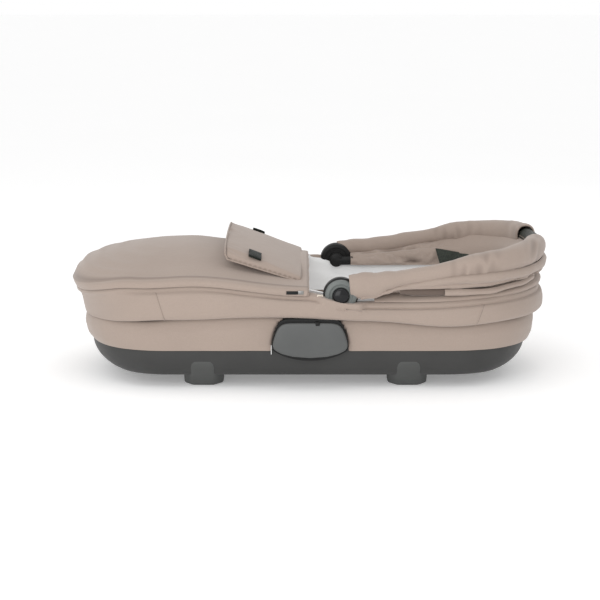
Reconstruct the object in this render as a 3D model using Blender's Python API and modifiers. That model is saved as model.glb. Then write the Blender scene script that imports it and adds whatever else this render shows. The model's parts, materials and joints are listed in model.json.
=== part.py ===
"""Folding pram carrycot, folded flat for storage, with its hood laid back and its apron zipped on.

Metres, +Z up. +X runs from the foot end to the head end, and Y runs across. The origin is on the floor,
under the middle of the cot. The near side is -Y and the far side is +Y.
"""

import math

import bmesh
import bpy
from mathutils import Matrix, Vector

# Whole cot
OVERALL_LENGTH = 0.860
SEAT_GAP = 0.0003
CUT_OVERRUN = 0.010
LEAST_STEP = 0.001
SMOOTH_ANGLE = math.radians(35)

# Rim frame: a bent tube that carries the upper cloth wall, the apron and the hood
RIM_HALF_WIDTH = 0.195
RIM_TUBE_RADIUS = 0.006
WALL_FOLDED_HEIGHT = 0.0775
RIM_RISE = 0.0315
RIM_RISE_SHARES = (
    (0.0, 0.30),
    (0.14, 0.90),
    (0.26, 1.03),
    (0.49, 0.50),
    (0.60, 0.0),
    (0.70, 0.0),
    (1.0, 0.36),
)
RIM_HEAD_SETBACK = 0.025
FOOT_END_SHARE = 0.1942
HEAD_END_SHARE = 0.2035
FOOT_END_POWER = 2.2
HEAD_END_POWER = 2.4
END_STATIONS = 8
SIDE_STATION_SHARES = (0.743, 0.457, 0.172)

# Moulded tub
TUB_EDGE_HEIGHT = 0.0695
TUB_BOTTOM_HEIGHT = 0.020
TUB_WALL = 0.003
TUB_SIDE_OUT = 0.002
TUB_FOOT_SETBACK = 0.0205
TUB_HEAD_SETBACK = 0.009
TUB_SIDE_TAPER = 0.068
TUB_END_TAPER = 0.125
TUB_ROW_SHARES = (
    (1.0, 0.0, 0.0),
    (0.80, 0.06, 0.09),
    (0.57, 0.15, 0.24),
    (0.36, 0.28, 0.44),
    (0.18, 0.48, 0.68),
    (0.06, 0.72, 0.88),
    (0.0, 1.0, 1.0),
)
TUB_REBATE = 0.0045
FLANGE_HEIGHT_SHARE = 0.4258
TUB_RIB_WIDTH = 0.0025
BOARD_DROP = 0.0262
TUB_RIB_SPACING_SHARE = 0.1221
TUB_RIB_COUNT = 5
TUB_RIB_LENGTH_SHARE = 1.18

# Feet, one under each corner of the tub
FOOT_LENGTH = 0.068
FOOT_DEPTH = 0.054
FOOT_OUTER_INSET = 0.008
FOOT_SOLE_INSET = 0.030
FOOT_TOP_HEIGHT = 0.050
FOOT_CORNER = 0.016
FOOT_SOLE_ROUND = 0.003
FOOT_CORNER_STEPS = 3
FOOT_SPACING_SHARE = 0.4047
FEET_CENTRE_X = -0.009
SCREW_RADIUS = 0.0025
SCREW_HEAD_RADIUS = 0.0055
SCREW_HEAD_DEPTH = 0.004
SCREW_LENGTH = 0.012
SCREW_WELL_LENGTH = 0.006

# Board and mattress inside the tub
BOARD_THICKNESS = 0.003
BOARD_INSET = 0.004
MATTRESS_HEIGHT_SHARE = 0.5161
MATTRESS_CROWN = 0.005
MATTRESS_INSET = 0.005
MATTRESS_EDGE_DROP = 0.009
MATTRESS_WAIST = 0.003
MATTRESS_LOW_SHARE = 0.12
MATTRESS_MIDDLE_SHARE = 0.45

# Cloth walls: the lower band on the tub, the upper band on the rim, the pleat tucked in between
CLOTH = 0.0025
THIN_CLOTH = 0.0015
FOLD_HEIGHT_SHARE = 0.5677
FOLD_RISE = 0.0165
FOLD_RISE_SHARES = (
    (0.0, 0.0),
    (0.22, 0.80),
    (0.42, 1.05),
    (0.62, 0.68),
    (0.80, 0.05),
    (0.93, 0.5),
    (1.0, 0.5),
)
FOLD_GAP = 0.0012
FOLD_TUCK = 0.016
FOLD_TUCK_RISE = 0.003
HEM_CLEARANCE = 0.0008
UPPER_SIDE_BULGE = 0.0213
UPPER_FOOT_BULGE = -0.002
UPPER_HEAD_BULGE = 0.013
UPPER_ROW_SHARES = ((0.66, 0.86), (0.34, 1.0), (0.09, 0.80), (0.0, 0.42))
LOWER_SIDE_BULGE = 0.0048
LOWER_FOOT_BULGE = -0.010
LOWER_HEAD_BULGE = -0.001
LOWER_ROW_SHARES = ((0.0, 0.0), (0.20, 0.62), (0.62, 1.0), (0.88, 0.82), (1.0, 0.45))
HEM_START = math.radians(205)
HEM_END = math.radians(-18)
HEM_STEPS = 6
PLEAT_DEPTH = 0.008
PLEAT_LOW_REACH = 0.0054
PLEAT_HIGH_REACH = 0.0045
LINING_CLEARANCE = 0.0022
LINING_DROP_GAP = 0.008

# Apron over the foot half, with the folded-back wind flap on its edge
APRON_EDGE_X = -0.004
APRON_OUT = 0.0145
APRON_ROW_SHARES = ((0.78, 0.06), (1.0, 0.45), (0.86, 0.80), (0.30, 1.0))
APRON_BAND = 0.0155
APRON_CROWN = 0.016
APRON_CLEARANCE = 0.0012
DOME_STEP_SHARES = (0.25, 0.5, 0.75, 1.0)
SPINE_SHARE = 0.55
FLAP_LENGTH_SHARE = 0.1628
FLAP_SIDE_INSET = 0.027
FLAP_ARCH = 0.030
FLAP_ROOT_ARCH = 0.016
FLAP_EDGE_RISE = 0.0387
FLAP_TILT = math.radians(17)
FLAP_THICKNESS = 0.013
FLAP_EDGE_THICKNESS = 0.003
FLAP_EDGE_SHARE = 0.6
FLAP_SWELL_POWER = 2.0
FLAP_ROOT_SETBACK = 0.0095
FLAP_ROWS = 7
FLAP_COLUMNS = 12
MAGNET_LENGTH = 0.023
MAGNET_WIDTH = 0.026
MAGNET_THICKNESS = 0.0022
MAGNET_LIFT = 0.0008
MAGNET_PLACE_SHARES = (0.58, 0.80)

# Zip sliders and their pulls, at the ends of the apron's zip
SLIDER_LENGTH = 0.010
SLIDER_HEIGHT = 0.007
SLIDER_THICKNESS = 0.0028
SLIDER_SETBACK = 0.012
SLIDER_BAND_SHARE = 0.62
PULL_LENGTH = 0.021
PULL_HEIGHT = 0.006
PULL_THICKNESS = 0.0014

# Hood hinges on the rim
HUB_SHARE = 0.06105
HUB_RISE = 0.021
HUB_HOUSING_RADIUS = 0.024
HUB_HOUSING_INSET = 0.0105
HUB_HOUSING_PROUD = 0.0085
HUB_CUP_RADIUS = 0.0275
HUB_CUP_DEPTH = 0.0088
HUB_CUP_WEB = 0.002
HUB_BUTTON_RADIUS = 0.0138
HUB_BUTTON_DEPTH = 0.0058
HUB_BUTTON_TRAVEL = 0.003
HUB_BUTTON_DOME = 0.0012
HUB_PIN_RADIUS = 0.004
HUB_CUT_MARGIN = 0.0015
ROUND_SEGMENTS = 24
SOCKET_RADIUS = 0.0105
SOCKET_START = 0.032
SOCKET_END = 0.056
SOCKET_NECK_HEIGHT = 0.014

# Carry handle, which is the hood's front bow
HANDLE_TILT = math.radians(10.5)
HANDLE_ARCH = 0.008
HANDLE_TUBE_RADIUS = 0.008
HANDLE_ARM_PROUD = 0.0072
HANDLE_SLEEVE_RADIUS = 0.015
HANDLE_HEAD_RADIUS = 0.0205
HANDLE_SLEEVE_WALL = 0.003
SLEEVE_END_SETBACK = 0.0045
GRIP_LENGTH = 0.120
GRIP_RADIUS = 0.0125
GRIP_WALL = 0.004
BOW_END_SHARE = 0.1919
BOW_POINTS = 33

# Rear bow of the hood
REAR_TILT = math.radians(3.8)
REAR_TUBE_RADIUS = 0.0045
REAR_ARM_INSET = 0.017
REAR_HEAD_SETBACK = 0.00576
REAR_SLEEVE_RADIUS = 0.0075
REAR_HEAD_RADIUS = 0.0135
REAR_SLEEVE_WALL = 0.0026
REAR_EYE_RADIUS = 0.011
REAR_EYE_INSET = 0.0215
REAR_SLEEVE_START = 0.034

# Hood cloth between the bows, folded
GORE_START_SHARE = 0.16
GORE_SAG = 0.012
GORE_HEAD_SAG = 0.058
GORE_TUCK = 0.6
GORE_STATIONS = 32
GORE_FOLD_SHARE = 0.22
GORE_FOLD_STEPS = 4
FRONT_GORE_SHARES = ((0.0, 0.0), (0.18, 0.75), (0.50, 1.0), (0.82, 0.75), (1.0, 0.0))
REAR_GORE_BULGE = 0.006
REAR_GORE_RISE = 0.85
REAR_GORE_OUT = 0.53
REAR_GORE_SIDE = 0.85
REAR_GORE_UNDER = 0.53
REAR_GORE_SHARES = ((0.0, 0.0), (0.15, 0.8), (0.50, 1.0), (1.0, 0.0))

# Side brackets, which a pram chassis carries
BRACKET_HALF_LENGTH = 0.0625
BRACKET_TOP_RISE = 0.0535
BRACKET_SHOULDER_RISE = 0.0365
BRACKET_CORNER_RISE = 0.0045
BRACKET_FOOT_DROP = 0.012
BRACKET_TOP_SHARE = 0.60
BRACKET_FOOT_POWER = 1.6
BRACKET_SHOULDER_SHARE = 0.90
HOUSING_MARGIN = 0.003
HOUSING_TOP_MARGIN = 0.0022
HOUSING_INNER_PROUD = 0.0015
HOUSING_OUTER_PROUD = 0.016
HOUSING_ROOT_INSET = 0.011
PADDLE_CLEARANCE = 0.0008
PADDLE_TOP_DROP = 0.0045
PADDLE_THICKNESS = 0.0045
PADDLE_BEVEL = 0.0012
ARC_POINTS = 7
SOCKET_SLOT_LENGTH = 0.060
SOCKET_SLOT_WIDTH = 0.0075
SOCKET_SLOT_DEPTH = 0.046
LATCH_LENGTH = 0.016
LATCH_HEIGHT = 0.008
LATCH_DEPTH = 0.0095
LATCH_HEIGHT_SHARE = 0.45
PIVOT_PIN_RADIUS = 0.0015
PIVOT_PIN_LENGTH = 0.044
PIVOT_DROP = 0.0022
PIVOT_EAR_LENGTH = 0.006
PIVOT_EAR_SIZE = 0.0034

# Stays: wire hoops that stand up under the rim when the cot is opened
STAY_RADIUS = 0.003
STAY_REACH_SHARE = 0.2093
STAY_CORNER = 0.022
STAY_CORNER_STEPS = 4
STAY_FOOT_SHARE = 0.3372
STAY_HEAD_SHARE = 0.3314
STAY_INSET = 0.023
STAY_EYE_LENGTH = 0.009
STAY_BLOCK_LENGTH = 0.016
STAY_BLOCK_FLOOR = 0.0025
STAY_BLOCK_GAP = 0.0005

# The pieces that each moving body carries, by the start of their names
BODY_PIECES = {
    "hub_button_near_pivot": ("hub_button_near",),
    "hub_button_far_pivot": ("hub_button_far",),
    "hood_front_pivot": ("handle_", "hood_front_gore"),
    "hood_rear_pivot": ("rear_bow", "hood_rear_gore"),
    "flap_pivot": ("wind_flap", "flap_magnet"),
    "zip_pull_near_pivot": ("zip_pull_near",),
    "zip_pull_far_pivot": ("zip_pull_far",),
    "paddle_near_pivot": ("release_paddle_near",),
    "paddle_far_pivot": ("release_paddle_far",),
    "latch_near_pivot": ("latch_near",),
    "latch_far_pivot": ("latch_far",),
    "stay_foot_pivot": ("stay_foot",),
    "stay_head_pivot": ("stay_head",),
    "rim_frame": ("rim_", "upper_wall", "inner_lining", "wall_pleat", "apron", "zip_", "hub_"),
}

COLOURS = {
    "taupe_cloth": ((0.40, 0.33, 0.29), 0.85, 0.0),
    "white_cloth": ((0.83, 0.83, 0.82), 0.9, 0.0),
    "dark_mesh": ((0.03, 0.035, 0.03), 0.8, 0.0),
    "black_plastic": ((0.02, 0.02, 0.02), 0.5, 0.0),
    "tub_plastic": ((0.060, 0.060, 0.058), 0.5, 0.0),
    "grey_plastic": ((0.13, 0.135, 0.135), 0.4, 0.0),
    "gloss_plastic": ((0.008, 0.008, 0.009), 0.12, 0.0),
    "handle_leatherette": ((0.025, 0.028, 0.025), 0.45, 0.0),
    "steel": ((0.55, 0.55, 0.54), 0.3, 1.0),
    "aluminium": ((0.62, 0.62, 0.62), 0.35, 1.0),
    "board": ((0.30, 0.22, 0.15), 0.8, 0.0),
}

RIM_LOW_HEIGHT = TUB_EDGE_HEIGHT + WALL_FOLDED_HEIGHT
FOLD_LOW_HEIGHT = TUB_EDGE_HEIGHT + WALL_FOLDED_HEIGHT * FOLD_HEIGHT_SHARE
TUB_FLANGE_HEIGHT = WALL_FOLDED_HEIGHT * FLANGE_HEIGHT_SHARE
MATTRESS_THICKNESS = WALL_FOLDED_HEIGHT * MATTRESS_HEIGHT_SHARE
HUB_Z = RIM_LOW_HEIGHT + HUB_RISE
FLAP_EDGE_HEIGHT = RIM_LOW_HEIGHT + FLAP_EDGE_RISE
BRACKET_TOP = TUB_EDGE_HEIGHT + BRACKET_TOP_RISE
BRACKET_SHOULDER = TUB_EDGE_HEIGHT + BRACKET_SHOULDER_RISE
BRACKET_CORNER = TUB_EDGE_HEIGHT + BRACKET_CORNER_RISE
BRACKET_BOTTOM = TUB_EDGE_HEIGHT - BRACKET_FOOT_DROP
RIM_FOOT_X = APRON_OUT - OVERALL_LENGTH / 2
RIM_HEAD_X = OVERALL_LENGTH / 2 - RIM_HEAD_SETBACK
FOOT_OUTER_OUT = RIM_HALF_WIDTH - FOOT_OUTER_INSET
FOOT_SOLE_OUT = RIM_HALF_WIDTH - FOOT_SOLE_INSET
FLAP_HALF_WIDTH = RIM_HALF_WIDTH - FLAP_SIDE_INSET
HUB_HOUSING_INNER = RIM_HALF_WIDTH - HUB_HOUSING_INSET
HUB_HOUSING_OUTER = RIM_HALF_WIDTH + HUB_HOUSING_PROUD
HANDLE_ARM_OUT = RIM_HALF_WIDTH + HANDLE_ARM_PROUD
REAR_ARM_OUT = RIM_HALF_WIDTH - REAR_ARM_INSET
REAR_EYE_INNER = RIM_HALF_WIDTH - REAR_EYE_INSET
HOUSING_INNER_OUT = RIM_HALF_WIDTH + HOUSING_INNER_PROUD
HOUSING_OUTER_OUT = RIM_HALF_WIDTH + HOUSING_OUTER_PROUD
HOUSING_ROOT_OUT = RIM_HALF_WIDTH - HOUSING_ROOT_INSET
STAY_OUT = RIM_HALF_WIDTH - STAY_INSET
FOOT_END_LENGTH = OVERALL_LENGTH * FOOT_END_SHARE
HEAD_END_LENGTH = OVERALL_LENGTH * HEAD_END_SHARE
BOW_END_LENGTH = OVERALL_LENGTH * BOW_END_SHARE
FLAP_LENGTH = OVERALL_LENGTH * FLAP_LENGTH_SHARE
TUB_RIB_SPACING = OVERALL_LENGTH * TUB_RIB_SPACING_SHARE
TUB_RIB_LENGTH = RIM_HALF_WIDTH * TUB_RIB_LENGTH_SHARE
FOOT_SPACING = OVERALL_LENGTH * FOOT_SPACING_SHARE
STAY_REACH = OVERALL_LENGTH * STAY_REACH_SHARE
STAY_FOOT_X = -OVERALL_LENGTH * STAY_FOOT_SHARE
STAY_HEAD_X = OVERALL_LENGTH * STAY_HEAD_SHARE
HUB_X = OVERALL_LENGTH * HUB_SHARE
REAR_REACH = (RIM_HEAD_X - REAR_HEAD_SETBACK - HUB_X) / math.cos(REAR_TILT)
HEM_RADIUS = RIM_TUBE_RADIUS + HEM_CLEARANCE + CLOTH
FLANGE_TOP = TUB_EDGE_HEIGHT + TUB_FLANGE_HEIGHT
BOARD_BOTTOM = TUB_EDGE_HEIGHT - BOARD_DROP
RIB_TOP = BOARD_BOTTOM - SEAT_GAP
MATTRESS_BOTTOM = BOARD_BOTTOM + BOARD_THICKNESS + SEAT_GAP
MATTRESS_TOP = MATTRESS_BOTTOM + MATTRESS_THICKNESS
STAY_HEIGHT = MATTRESS_TOP + MATTRESS_CROWN + SEAT_GAP + STAY_RADIUS + STAY_BLOCK_FLOOR
HANDLE_END_X = OVERALL_LENGTH / 2 - HANDLE_HEAD_RADIUS + SLEEVE_END_SETBACK
HANDLE_REACH = (HANDLE_END_X - HUB_X) / math.cos(HANDLE_TILT)
FLAP_ROOT_X = APRON_EDGE_X - FLAP_ROOT_SETBACK
FLAP_HINGE_HEIGHT = FLAP_EDGE_HEIGHT + FLAP_ROOT_ARCH - FLAP_EDGE_THICKNESS / 2
SLIDER_X = APRON_EDGE_X - SLIDER_SETBACK
PULL_RIGHT = SLIDER_X - SLIDER_LENGTH / 2 - SEAT_GAP
SLIDER_INNER_OUT = RIM_HALF_WIDTH + APRON_OUT + SEAT_GAP
HUB_CUP_INNER = HUB_HOUSING_OUTER + SEAT_GAP
PADDLE_INNER_OUT = HOUSING_OUTER_OUT + PADDLE_CLEARANCE
PIVOT_HEIGHT = BRACKET_TOP - PADDLE_TOP_DROP - PIVOT_DROP
LATCH_Z = BRACKET_BOTTOM + LATCH_HEIGHT_SHARE * (BRACKET_TOP - BRACKET_BOTTOM)
SLOT_MIDDLE_OUT = (HOUSING_INNER_OUT + HOUSING_OUTER_OUT) / 2
GUIDE_INNER_OUT = SLOT_MIDDLE_OUT - SOCKET_SLOT_WIDTH / 2
GUIDE_OUTER_OUT = SLOT_MIDDLE_OUT + SOCKET_SLOT_WIDTH / 2
SIDES = (("near", -1), ("far", 1))
ENDS = (("foot", -1), ("head", 1))


class Station:
    """One place on the rim's centre line, with its outward normal and whether it lies on a straight side."""

    def __init__(self, x, y, normal, on_side):
        self.x = x
        self.y = y
        self.normal = normal
        self.on_side = on_side

    def at(self, out, z):
        """The point that lies out beyond the rim's centre line, at height z."""
        return Vector((self.x + self.normal.x * out, self.y + self.normal.y * out, z))

    def mix(self, side, foot, head):
        """A size that differs between the sides and the two ends, turned smoothly with the normal."""
        end = foot if self.normal.x < 0 else head
        return side * self.normal.y**2 + end * self.normal.x**2

    def behind_bracket(self):
        """Whether the wall runs behind a side bracket here."""
        return self.on_side and abs(self.x) <= BRACKET_HALF_LENGTH + 2 * HOUSING_MARGIN


def reset_scene():
    """Empties the scene and makes one collection for the cot and one for the cutters."""
    for old in list(bpy.data.objects):
        bpy.data.objects.remove(old)
    made = []
    for name in ("carrycot", "cutters"):
        collection = bpy.data.collections.new(name)
        bpy.context.scene.collection.children.link(collection)
        made.append(collection)
    return made


PARTS, CUTTERS = reset_scene()


def make_materials():
    """One Principled material for each finish."""
    made = {}
    for name, (colour, roughness, metallic) in COLOURS.items():
        material = bpy.data.materials.new(name)
        material.use_nodes = True
        shader = material.node_tree.nodes["Principled BSDF"]
        shader.inputs["Base Color"].default_value = (*colour, 1.0)
        shader.inputs["Roughness"].default_value = roughness
        shader.inputs["Metallic"].default_value = metallic
        made[name] = material
    return made


MATERIALS = make_materials()


def ease(share):
    """A smooth step from 0 to 1."""
    return share * share * (3 - 2 * share)


def along(shares, place):
    """Reads a table of (place, value) shares, eased between its entries."""
    for (place_a, value_a), (place_b, value_b) in zip(shares, shares[1:]):
        if place <= place_b:
            step = max(0.0, (place - place_a) / (place_b - place_a))
            return value_a + (value_b - value_a) * ease(step)
    return shares[-1][1]


def length_share(x):
    """How far x lies from the rim's foot end to its head end, from 0 to 1."""
    return min(1.0, max(0.0, (x - RIM_FOOT_X) / (RIM_HEAD_X - RIM_FOOT_X)))


def rim_height(x):
    """Height of the rim tube's centre line."""
    return RIM_LOW_HEIGHT + RIM_RISE * along(RIM_RISE_SHARES, length_share(x))


def fold_height(x):
    """Height of the crease where the upper band folds over the lower one."""
    return FOLD_LOW_HEIGHT + FOLD_RISE * along(FOLD_RISE_SHARES, length_share(x))


def end_curve(length, half_width, power, steps):
    """Points of a superellipse end from its +Y side round to its -Y side, each as (reach, y)."""
    points = []
    for step in range(steps * 2 + 1):
        angle = math.pi / 2 - math.pi * step / (steps * 2)
        reach = length * abs(math.cos(angle)) ** (2 / power)
        side = math.copysign(abs(math.sin(angle)) ** (2 / power), math.sin(angle))
        points.append((reach, half_width * side))
    points[steps] = (length, 0.0)
    return points


def rim_stations():
    """Stations round the rim, counter-clockwise seen from above, starting on the far side."""
    foot_x = RIM_FOOT_X + FOOT_END_LENGTH
    head_x = RIM_HEAD_X - HEAD_END_LENGTH
    edge = BRACKET_HALF_LENGTH + 2 * HOUSING_MARGIN
    inner = [-edge - HOUSING_MARGIN * 2, -edge, 0.0, edge, edge + HOUSING_MARGIN * 2]
    clear = inner[-1]
    toward_foot = [(foot_x + clear) * share - clear for share in SIDE_STATION_SHARES]
    toward_head = [(head_x - clear) * share + clear for share in reversed(SIDE_STATION_SHARES)]
    side_x = toward_foot + inner + toward_head
    outline = [(x, RIM_HALF_WIDTH) for x in reversed(side_x)]
    foot = end_curve(FOOT_END_LENGTH, RIM_HALF_WIDTH, FOOT_END_POWER, END_STATIONS)
    outline += [(foot_x - r, y) for r, y in foot]
    outline += [(x, -RIM_HALF_WIDTH) for x in side_x]
    head = end_curve(HEAD_END_LENGTH, RIM_HALF_WIDTH, HEAD_END_POWER, END_STATIONS)
    outline += [(head_x + r, y) for r, y in reversed(head)]
    stations = []
    for index, (x, y) in enumerate(outline):
        before = Vector(outline[index - 1])
        after = Vector(outline[(index + 1) % len(outline)])
        direction = (after - before).normalized()
        on_side = foot_x <= x <= head_x
        normal = Vector((0, math.copysign(1, y))) if on_side else Vector((direction.y, -direction.x))
        stations.append(Station(x, y, normal, on_side))
    return stations


STATIONS = rim_stations()


def finish(obj, name, material, collection=None):
    """Names an object, gives it its material and puts it in its collection."""
    target = collection or PARTS
    for old in list(obj.users_collection):
        old.objects.unlink(obj)
    target.objects.link(obj)
    obj.name = name
    if material:
        obj.data.materials.clear()
        obj.data.materials.append(MATERIALS[material])
    if target == CUTTERS:
        obj.hide_render = True
        obj.display_type = "WIRE"
    return obj


def mesh_object(name, mesh_data, material, collection=None, recalculate=True):
    """Makes an object from a bmesh, with its faces pointing out and shaded smooth."""
    if recalculate:
        bmesh.ops.recalc_face_normals(mesh_data, faces=mesh_data.faces)
    mesh = bpy.data.meshes.new(name)
    mesh_data.to_mesh(mesh)
    mesh_data.free()
    mesh.shade_smooth()
    mesh.set_sharp_from_angle(angle=SMOOTH_ANGLE)
    return finish(bpy.data.objects.new(name, mesh), name, material, collection)


def loft(name, rows, material, cap_first=False, cap_last=False, closed=True, collection=None):
    """Skins rows of points that all have the same count, each row a ring if closed, else an open strip."""
    build = bmesh.new()
    grid = [[build.verts.new(point) for point in row] for row in rows]
    count = len(rows[0])
    for row, following in zip(grid, grid[1:]):
        for index in range(count if closed else count - 1):
            beyond = (index + 1) % count
            build.faces.new((row[index], row[beyond], following[beyond], following[index]))
    if cap_first:
        build.faces.new(grid[0])
    if cap_last:
        build.faces.new(grid[-1])
    bmesh.ops.remove_doubles(build, verts=build.verts, dist=SEAT_GAP / 10)
    return mesh_object(name, build, material, collection)


def orient_up(obj):
    """Turns an open surface so that its faces point up and out, for Solidify to thicken it downwards."""
    mesh = obj.data
    total = sum(polygon.normal.z * polygon.area for polygon in mesh.polygons)
    if total < 0:
        mesh.flip_normals()


def orient_out(obj):
    """Turns an open ring so that its faces point away from the cot's middle."""
    mesh = obj.data
    total = sum(polygon.normal.dot(polygon.center) * polygon.area for polygon in mesh.polygons)
    if total < 0:
        mesh.flip_normals()


def thicken(obj, thickness, outward=False):
    """Gives an open surface its thickness, on the inner side unless outward is set."""
    solidify = obj.modifiers.new("wall", "SOLIDIFY")
    solidify.thickness = thickness
    solidify.offset = 1 if outward else -1
    solidify.use_even_offset = False
    return obj


def box(name, low, high, material=None, bevel=0.0, collection=None):
    """A box between two corners, with its edges rounded if bevel is given."""
    low, high = Vector(low), Vector(high)
    build = bmesh.new()
    bmesh.ops.create_cube(build, size=1)
    size = high - low
    bmesh.ops.scale(build, vec=size, verts=build.verts)
    bmesh.ops.translate(build, vec=(low + high) / 2, verts=build.verts)
    obj = mesh_object(name, build, material, collection)
    if bevel:
        rounded = obj.modifiers.new("rounded", "BEVEL")
        rounded.width = bevel
        rounded.segments = 2
    return obj


def cylinder(
    name, start, end, radius, material=None, collection=None, end_radius=None, segments=ROUND_SEGMENTS
):
    """A cylinder or cone between two points."""
    start, end = Vector(start), Vector(end)
    build = bmesh.new()
    bmesh.ops.create_cone(
        build,
        cap_ends=True,
        segments=segments,
        radius1=radius,
        radius2=radius if end_radius is None else end_radius,
        depth=(end - start).length,
    )
    turn = (end - start).to_track_quat("Z", "Y").to_matrix().to_4x4()
    bmesh.ops.transform(build, matrix=Matrix.Translation((start + end) / 2) @ turn, verts=build.verts)
    return mesh_object(name, build, material, collection)


def tube(name, points, radius, material, radii=None, cyclic=False, capped=True, resolution=2):
    """A round tube along a line of points, as a curve with a bevel."""
    curve = bpy.data.curves.new(name, "CURVE")
    curve.dimensions = "3D"
    curve.bevel_depth = radius
    curve.bevel_resolution = resolution
    curve.use_fill_caps = capped
    spline = curve.splines.new("POLY")
    spline.points.add(len(points) - 1)
    for index, (place, point) in enumerate(zip(spline.points, points)):
        place.co = (*point, 1)
        place.radius = radii[index] / radius if radii else 1
    spline.use_cyclic_u = cyclic
    return finish(bpy.data.objects.new(name, curve), name, material)


def mesh_of(obj):
    """Replaces a curve object with the mesh that it makes, welded at its caps."""
    depsgraph = bpy.context.evaluated_depsgraph_get()
    mesh = bpy.data.meshes.new_from_object(obj.evaluated_get(depsgraph))
    build = bmesh.new()
    build.from_mesh(mesh)
    bmesh.ops.remove_doubles(build, verts=build.verts, dist=SEAT_GAP / 10)
    build.to_mesh(mesh)
    build.free()
    made = bpy.data.objects.new(obj.name, mesh)
    made.matrix_world = obj.matrix_world
    name = obj.name
    bpy.data.objects.remove(obj)
    mesh.shade_smooth()
    mesh.set_sharp_from_angle(angle=SMOOTH_ANGLE)
    return finish(made, name, None)


def sleeve(name, points, radii, wall, material, resolution=2):
    """A hollow tube of cloth or foam along a line of points, open at both ends."""
    outer = mesh_of(tube(name, points, radii[0], material, radii=radii, capped=False, resolution=resolution))
    middle = Vector(points[0])
    first = outer.data.polygons[0]
    if first.normal.dot(first.center - middle) < 0:
        outer.data.flip_normals()
    return thicken(outer, wall)


def boolean(obj, other, operation="DIFFERENCE"):
    """Adds a Boolean modifier that cuts, joins or keeps the overlap."""
    step = obj.modifiers.new(operation.lower(), "BOOLEAN")
    step.object = other
    step.operation = operation
    return obj


def mirrored(point, side):
    """The point on the near (-1) or far (1) side, given on the far side."""
    return Vector((point[0], point[1] * side, point[2]))


def tub_out(station, height_share, side_share, end_share):
    """Outward place and height of one row of the tub's outer face."""
    edge = station.mix(TUB_SIDE_OUT, -TUB_FOOT_SETBACK, -TUB_HEAD_SETBACK)
    taper = station.mix(TUB_SIDE_TAPER * side_share, TUB_END_TAPER * end_share, TUB_END_TAPER * end_share)
    z = TUB_BOTTOM_HEIGHT + height_share * (TUB_EDGE_HEIGHT - TUB_BOTTOM_HEIGHT)
    return edge - taper, z


def tub_rows(grow=0.0):
    """Rings of the tub's outer face from its edge down to its flat bottom, moved outwards by grow."""
    rings = []
    for shares in TUB_ROW_SHARES:
        ring = []
        for station in STATIONS:
            out, z = tub_out(station, *shares)
            drop = grow * (1 - shares[0])
            ring.append(station.at(out + grow, z - drop))
        rings.append(ring)
    return rings


def flange_out(station):
    """Outward place of the tub's flange, which stands inside the lower cloth band."""
    return station.mix(TUB_SIDE_OUT, -TUB_FOOT_SETBACK, -TUB_HEAD_SETBACK) - TUB_REBATE


def tub_clearance(name, grow, top_height):
    """A closed solid a little larger than the tub's outside, for cutting what is fixed to it."""
    rings = tub_rows(grow)
    top = [Vector((point.x, point.y, top_height)) for point in rings[0]]
    return loft(name, [top] + rings, None, cap_first=True, cap_last=True, collection=CUTTERS)


def make_tub():
    """The moulded tub: a tapering shell with a rebated flange for the cloth and cross ribs on its floor."""
    top = [station.at(flange_out(station), FLANGE_TOP) for station in STATIONS]
    step = [station.at(flange_out(station), TUB_EDGE_HEIGHT) for station in STATIONS]
    rings = [top, step] + tub_rows()
    tub = loft("tub_shell", rings, "tub_plastic", cap_last=True)
    orient_out(tub)
    thicken(tub, TUB_WALL)
    rib_start = FEET_CENTRE_X - TUB_RIB_SPACING * (TUB_RIB_COUNT - 1) / 2
    for number in range(TUB_RIB_COUNT):
        x = rib_start + TUB_RIB_SPACING * number
        low = (x - TUB_RIB_WIDTH / 2, -TUB_RIB_LENGTH / 2, TUB_BOTTOM_HEIGHT + TUB_WALL / 2)
        high = (x + TUB_RIB_WIDTH / 2, TUB_RIB_LENGTH / 2, RIB_TOP)
        boolean(tub, box(f"rib_{number}", low, high, collection=CUTTERS), "UNION")
    return tub


def tub_inner_out(station, z):
    """Outward place of the tub's inner face at height z."""
    rows = [tub_out(station, *shares) for shares in TUB_ROW_SHARES]
    for (out_a, z_a), (out_b, z_b) in zip(rows, rows[1:]):
        if z >= z_b:
            step = min(1.0, (z - z_b) / (z_a - z_b))
            return out_b + (out_a - out_b) * step - TUB_WALL - TUB_REBATE
    return rows[-1][0] - TUB_WALL - TUB_REBATE


def make_board():
    """The stiff board that lies on the tub's ribs under the mattress."""
    rings = []
    for z in (BOARD_BOTTOM, BOARD_BOTTOM + BOARD_THICKNESS):
        rings.append([s.at(tub_inner_out(s, BOARD_BOTTOM) - BOARD_INSET, z) for s in STATIONS])
    return loft("mattress_board", rings, "board", cap_first=True, cap_last=True)


def spine_point(station, z):
    """The point on the cot's middle line that a dome's rows run to."""
    reach = RIM_HEAD_X * SPINE_SHARE
    return Vector((min(reach, max(-reach, station.x)), 0, z))


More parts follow.
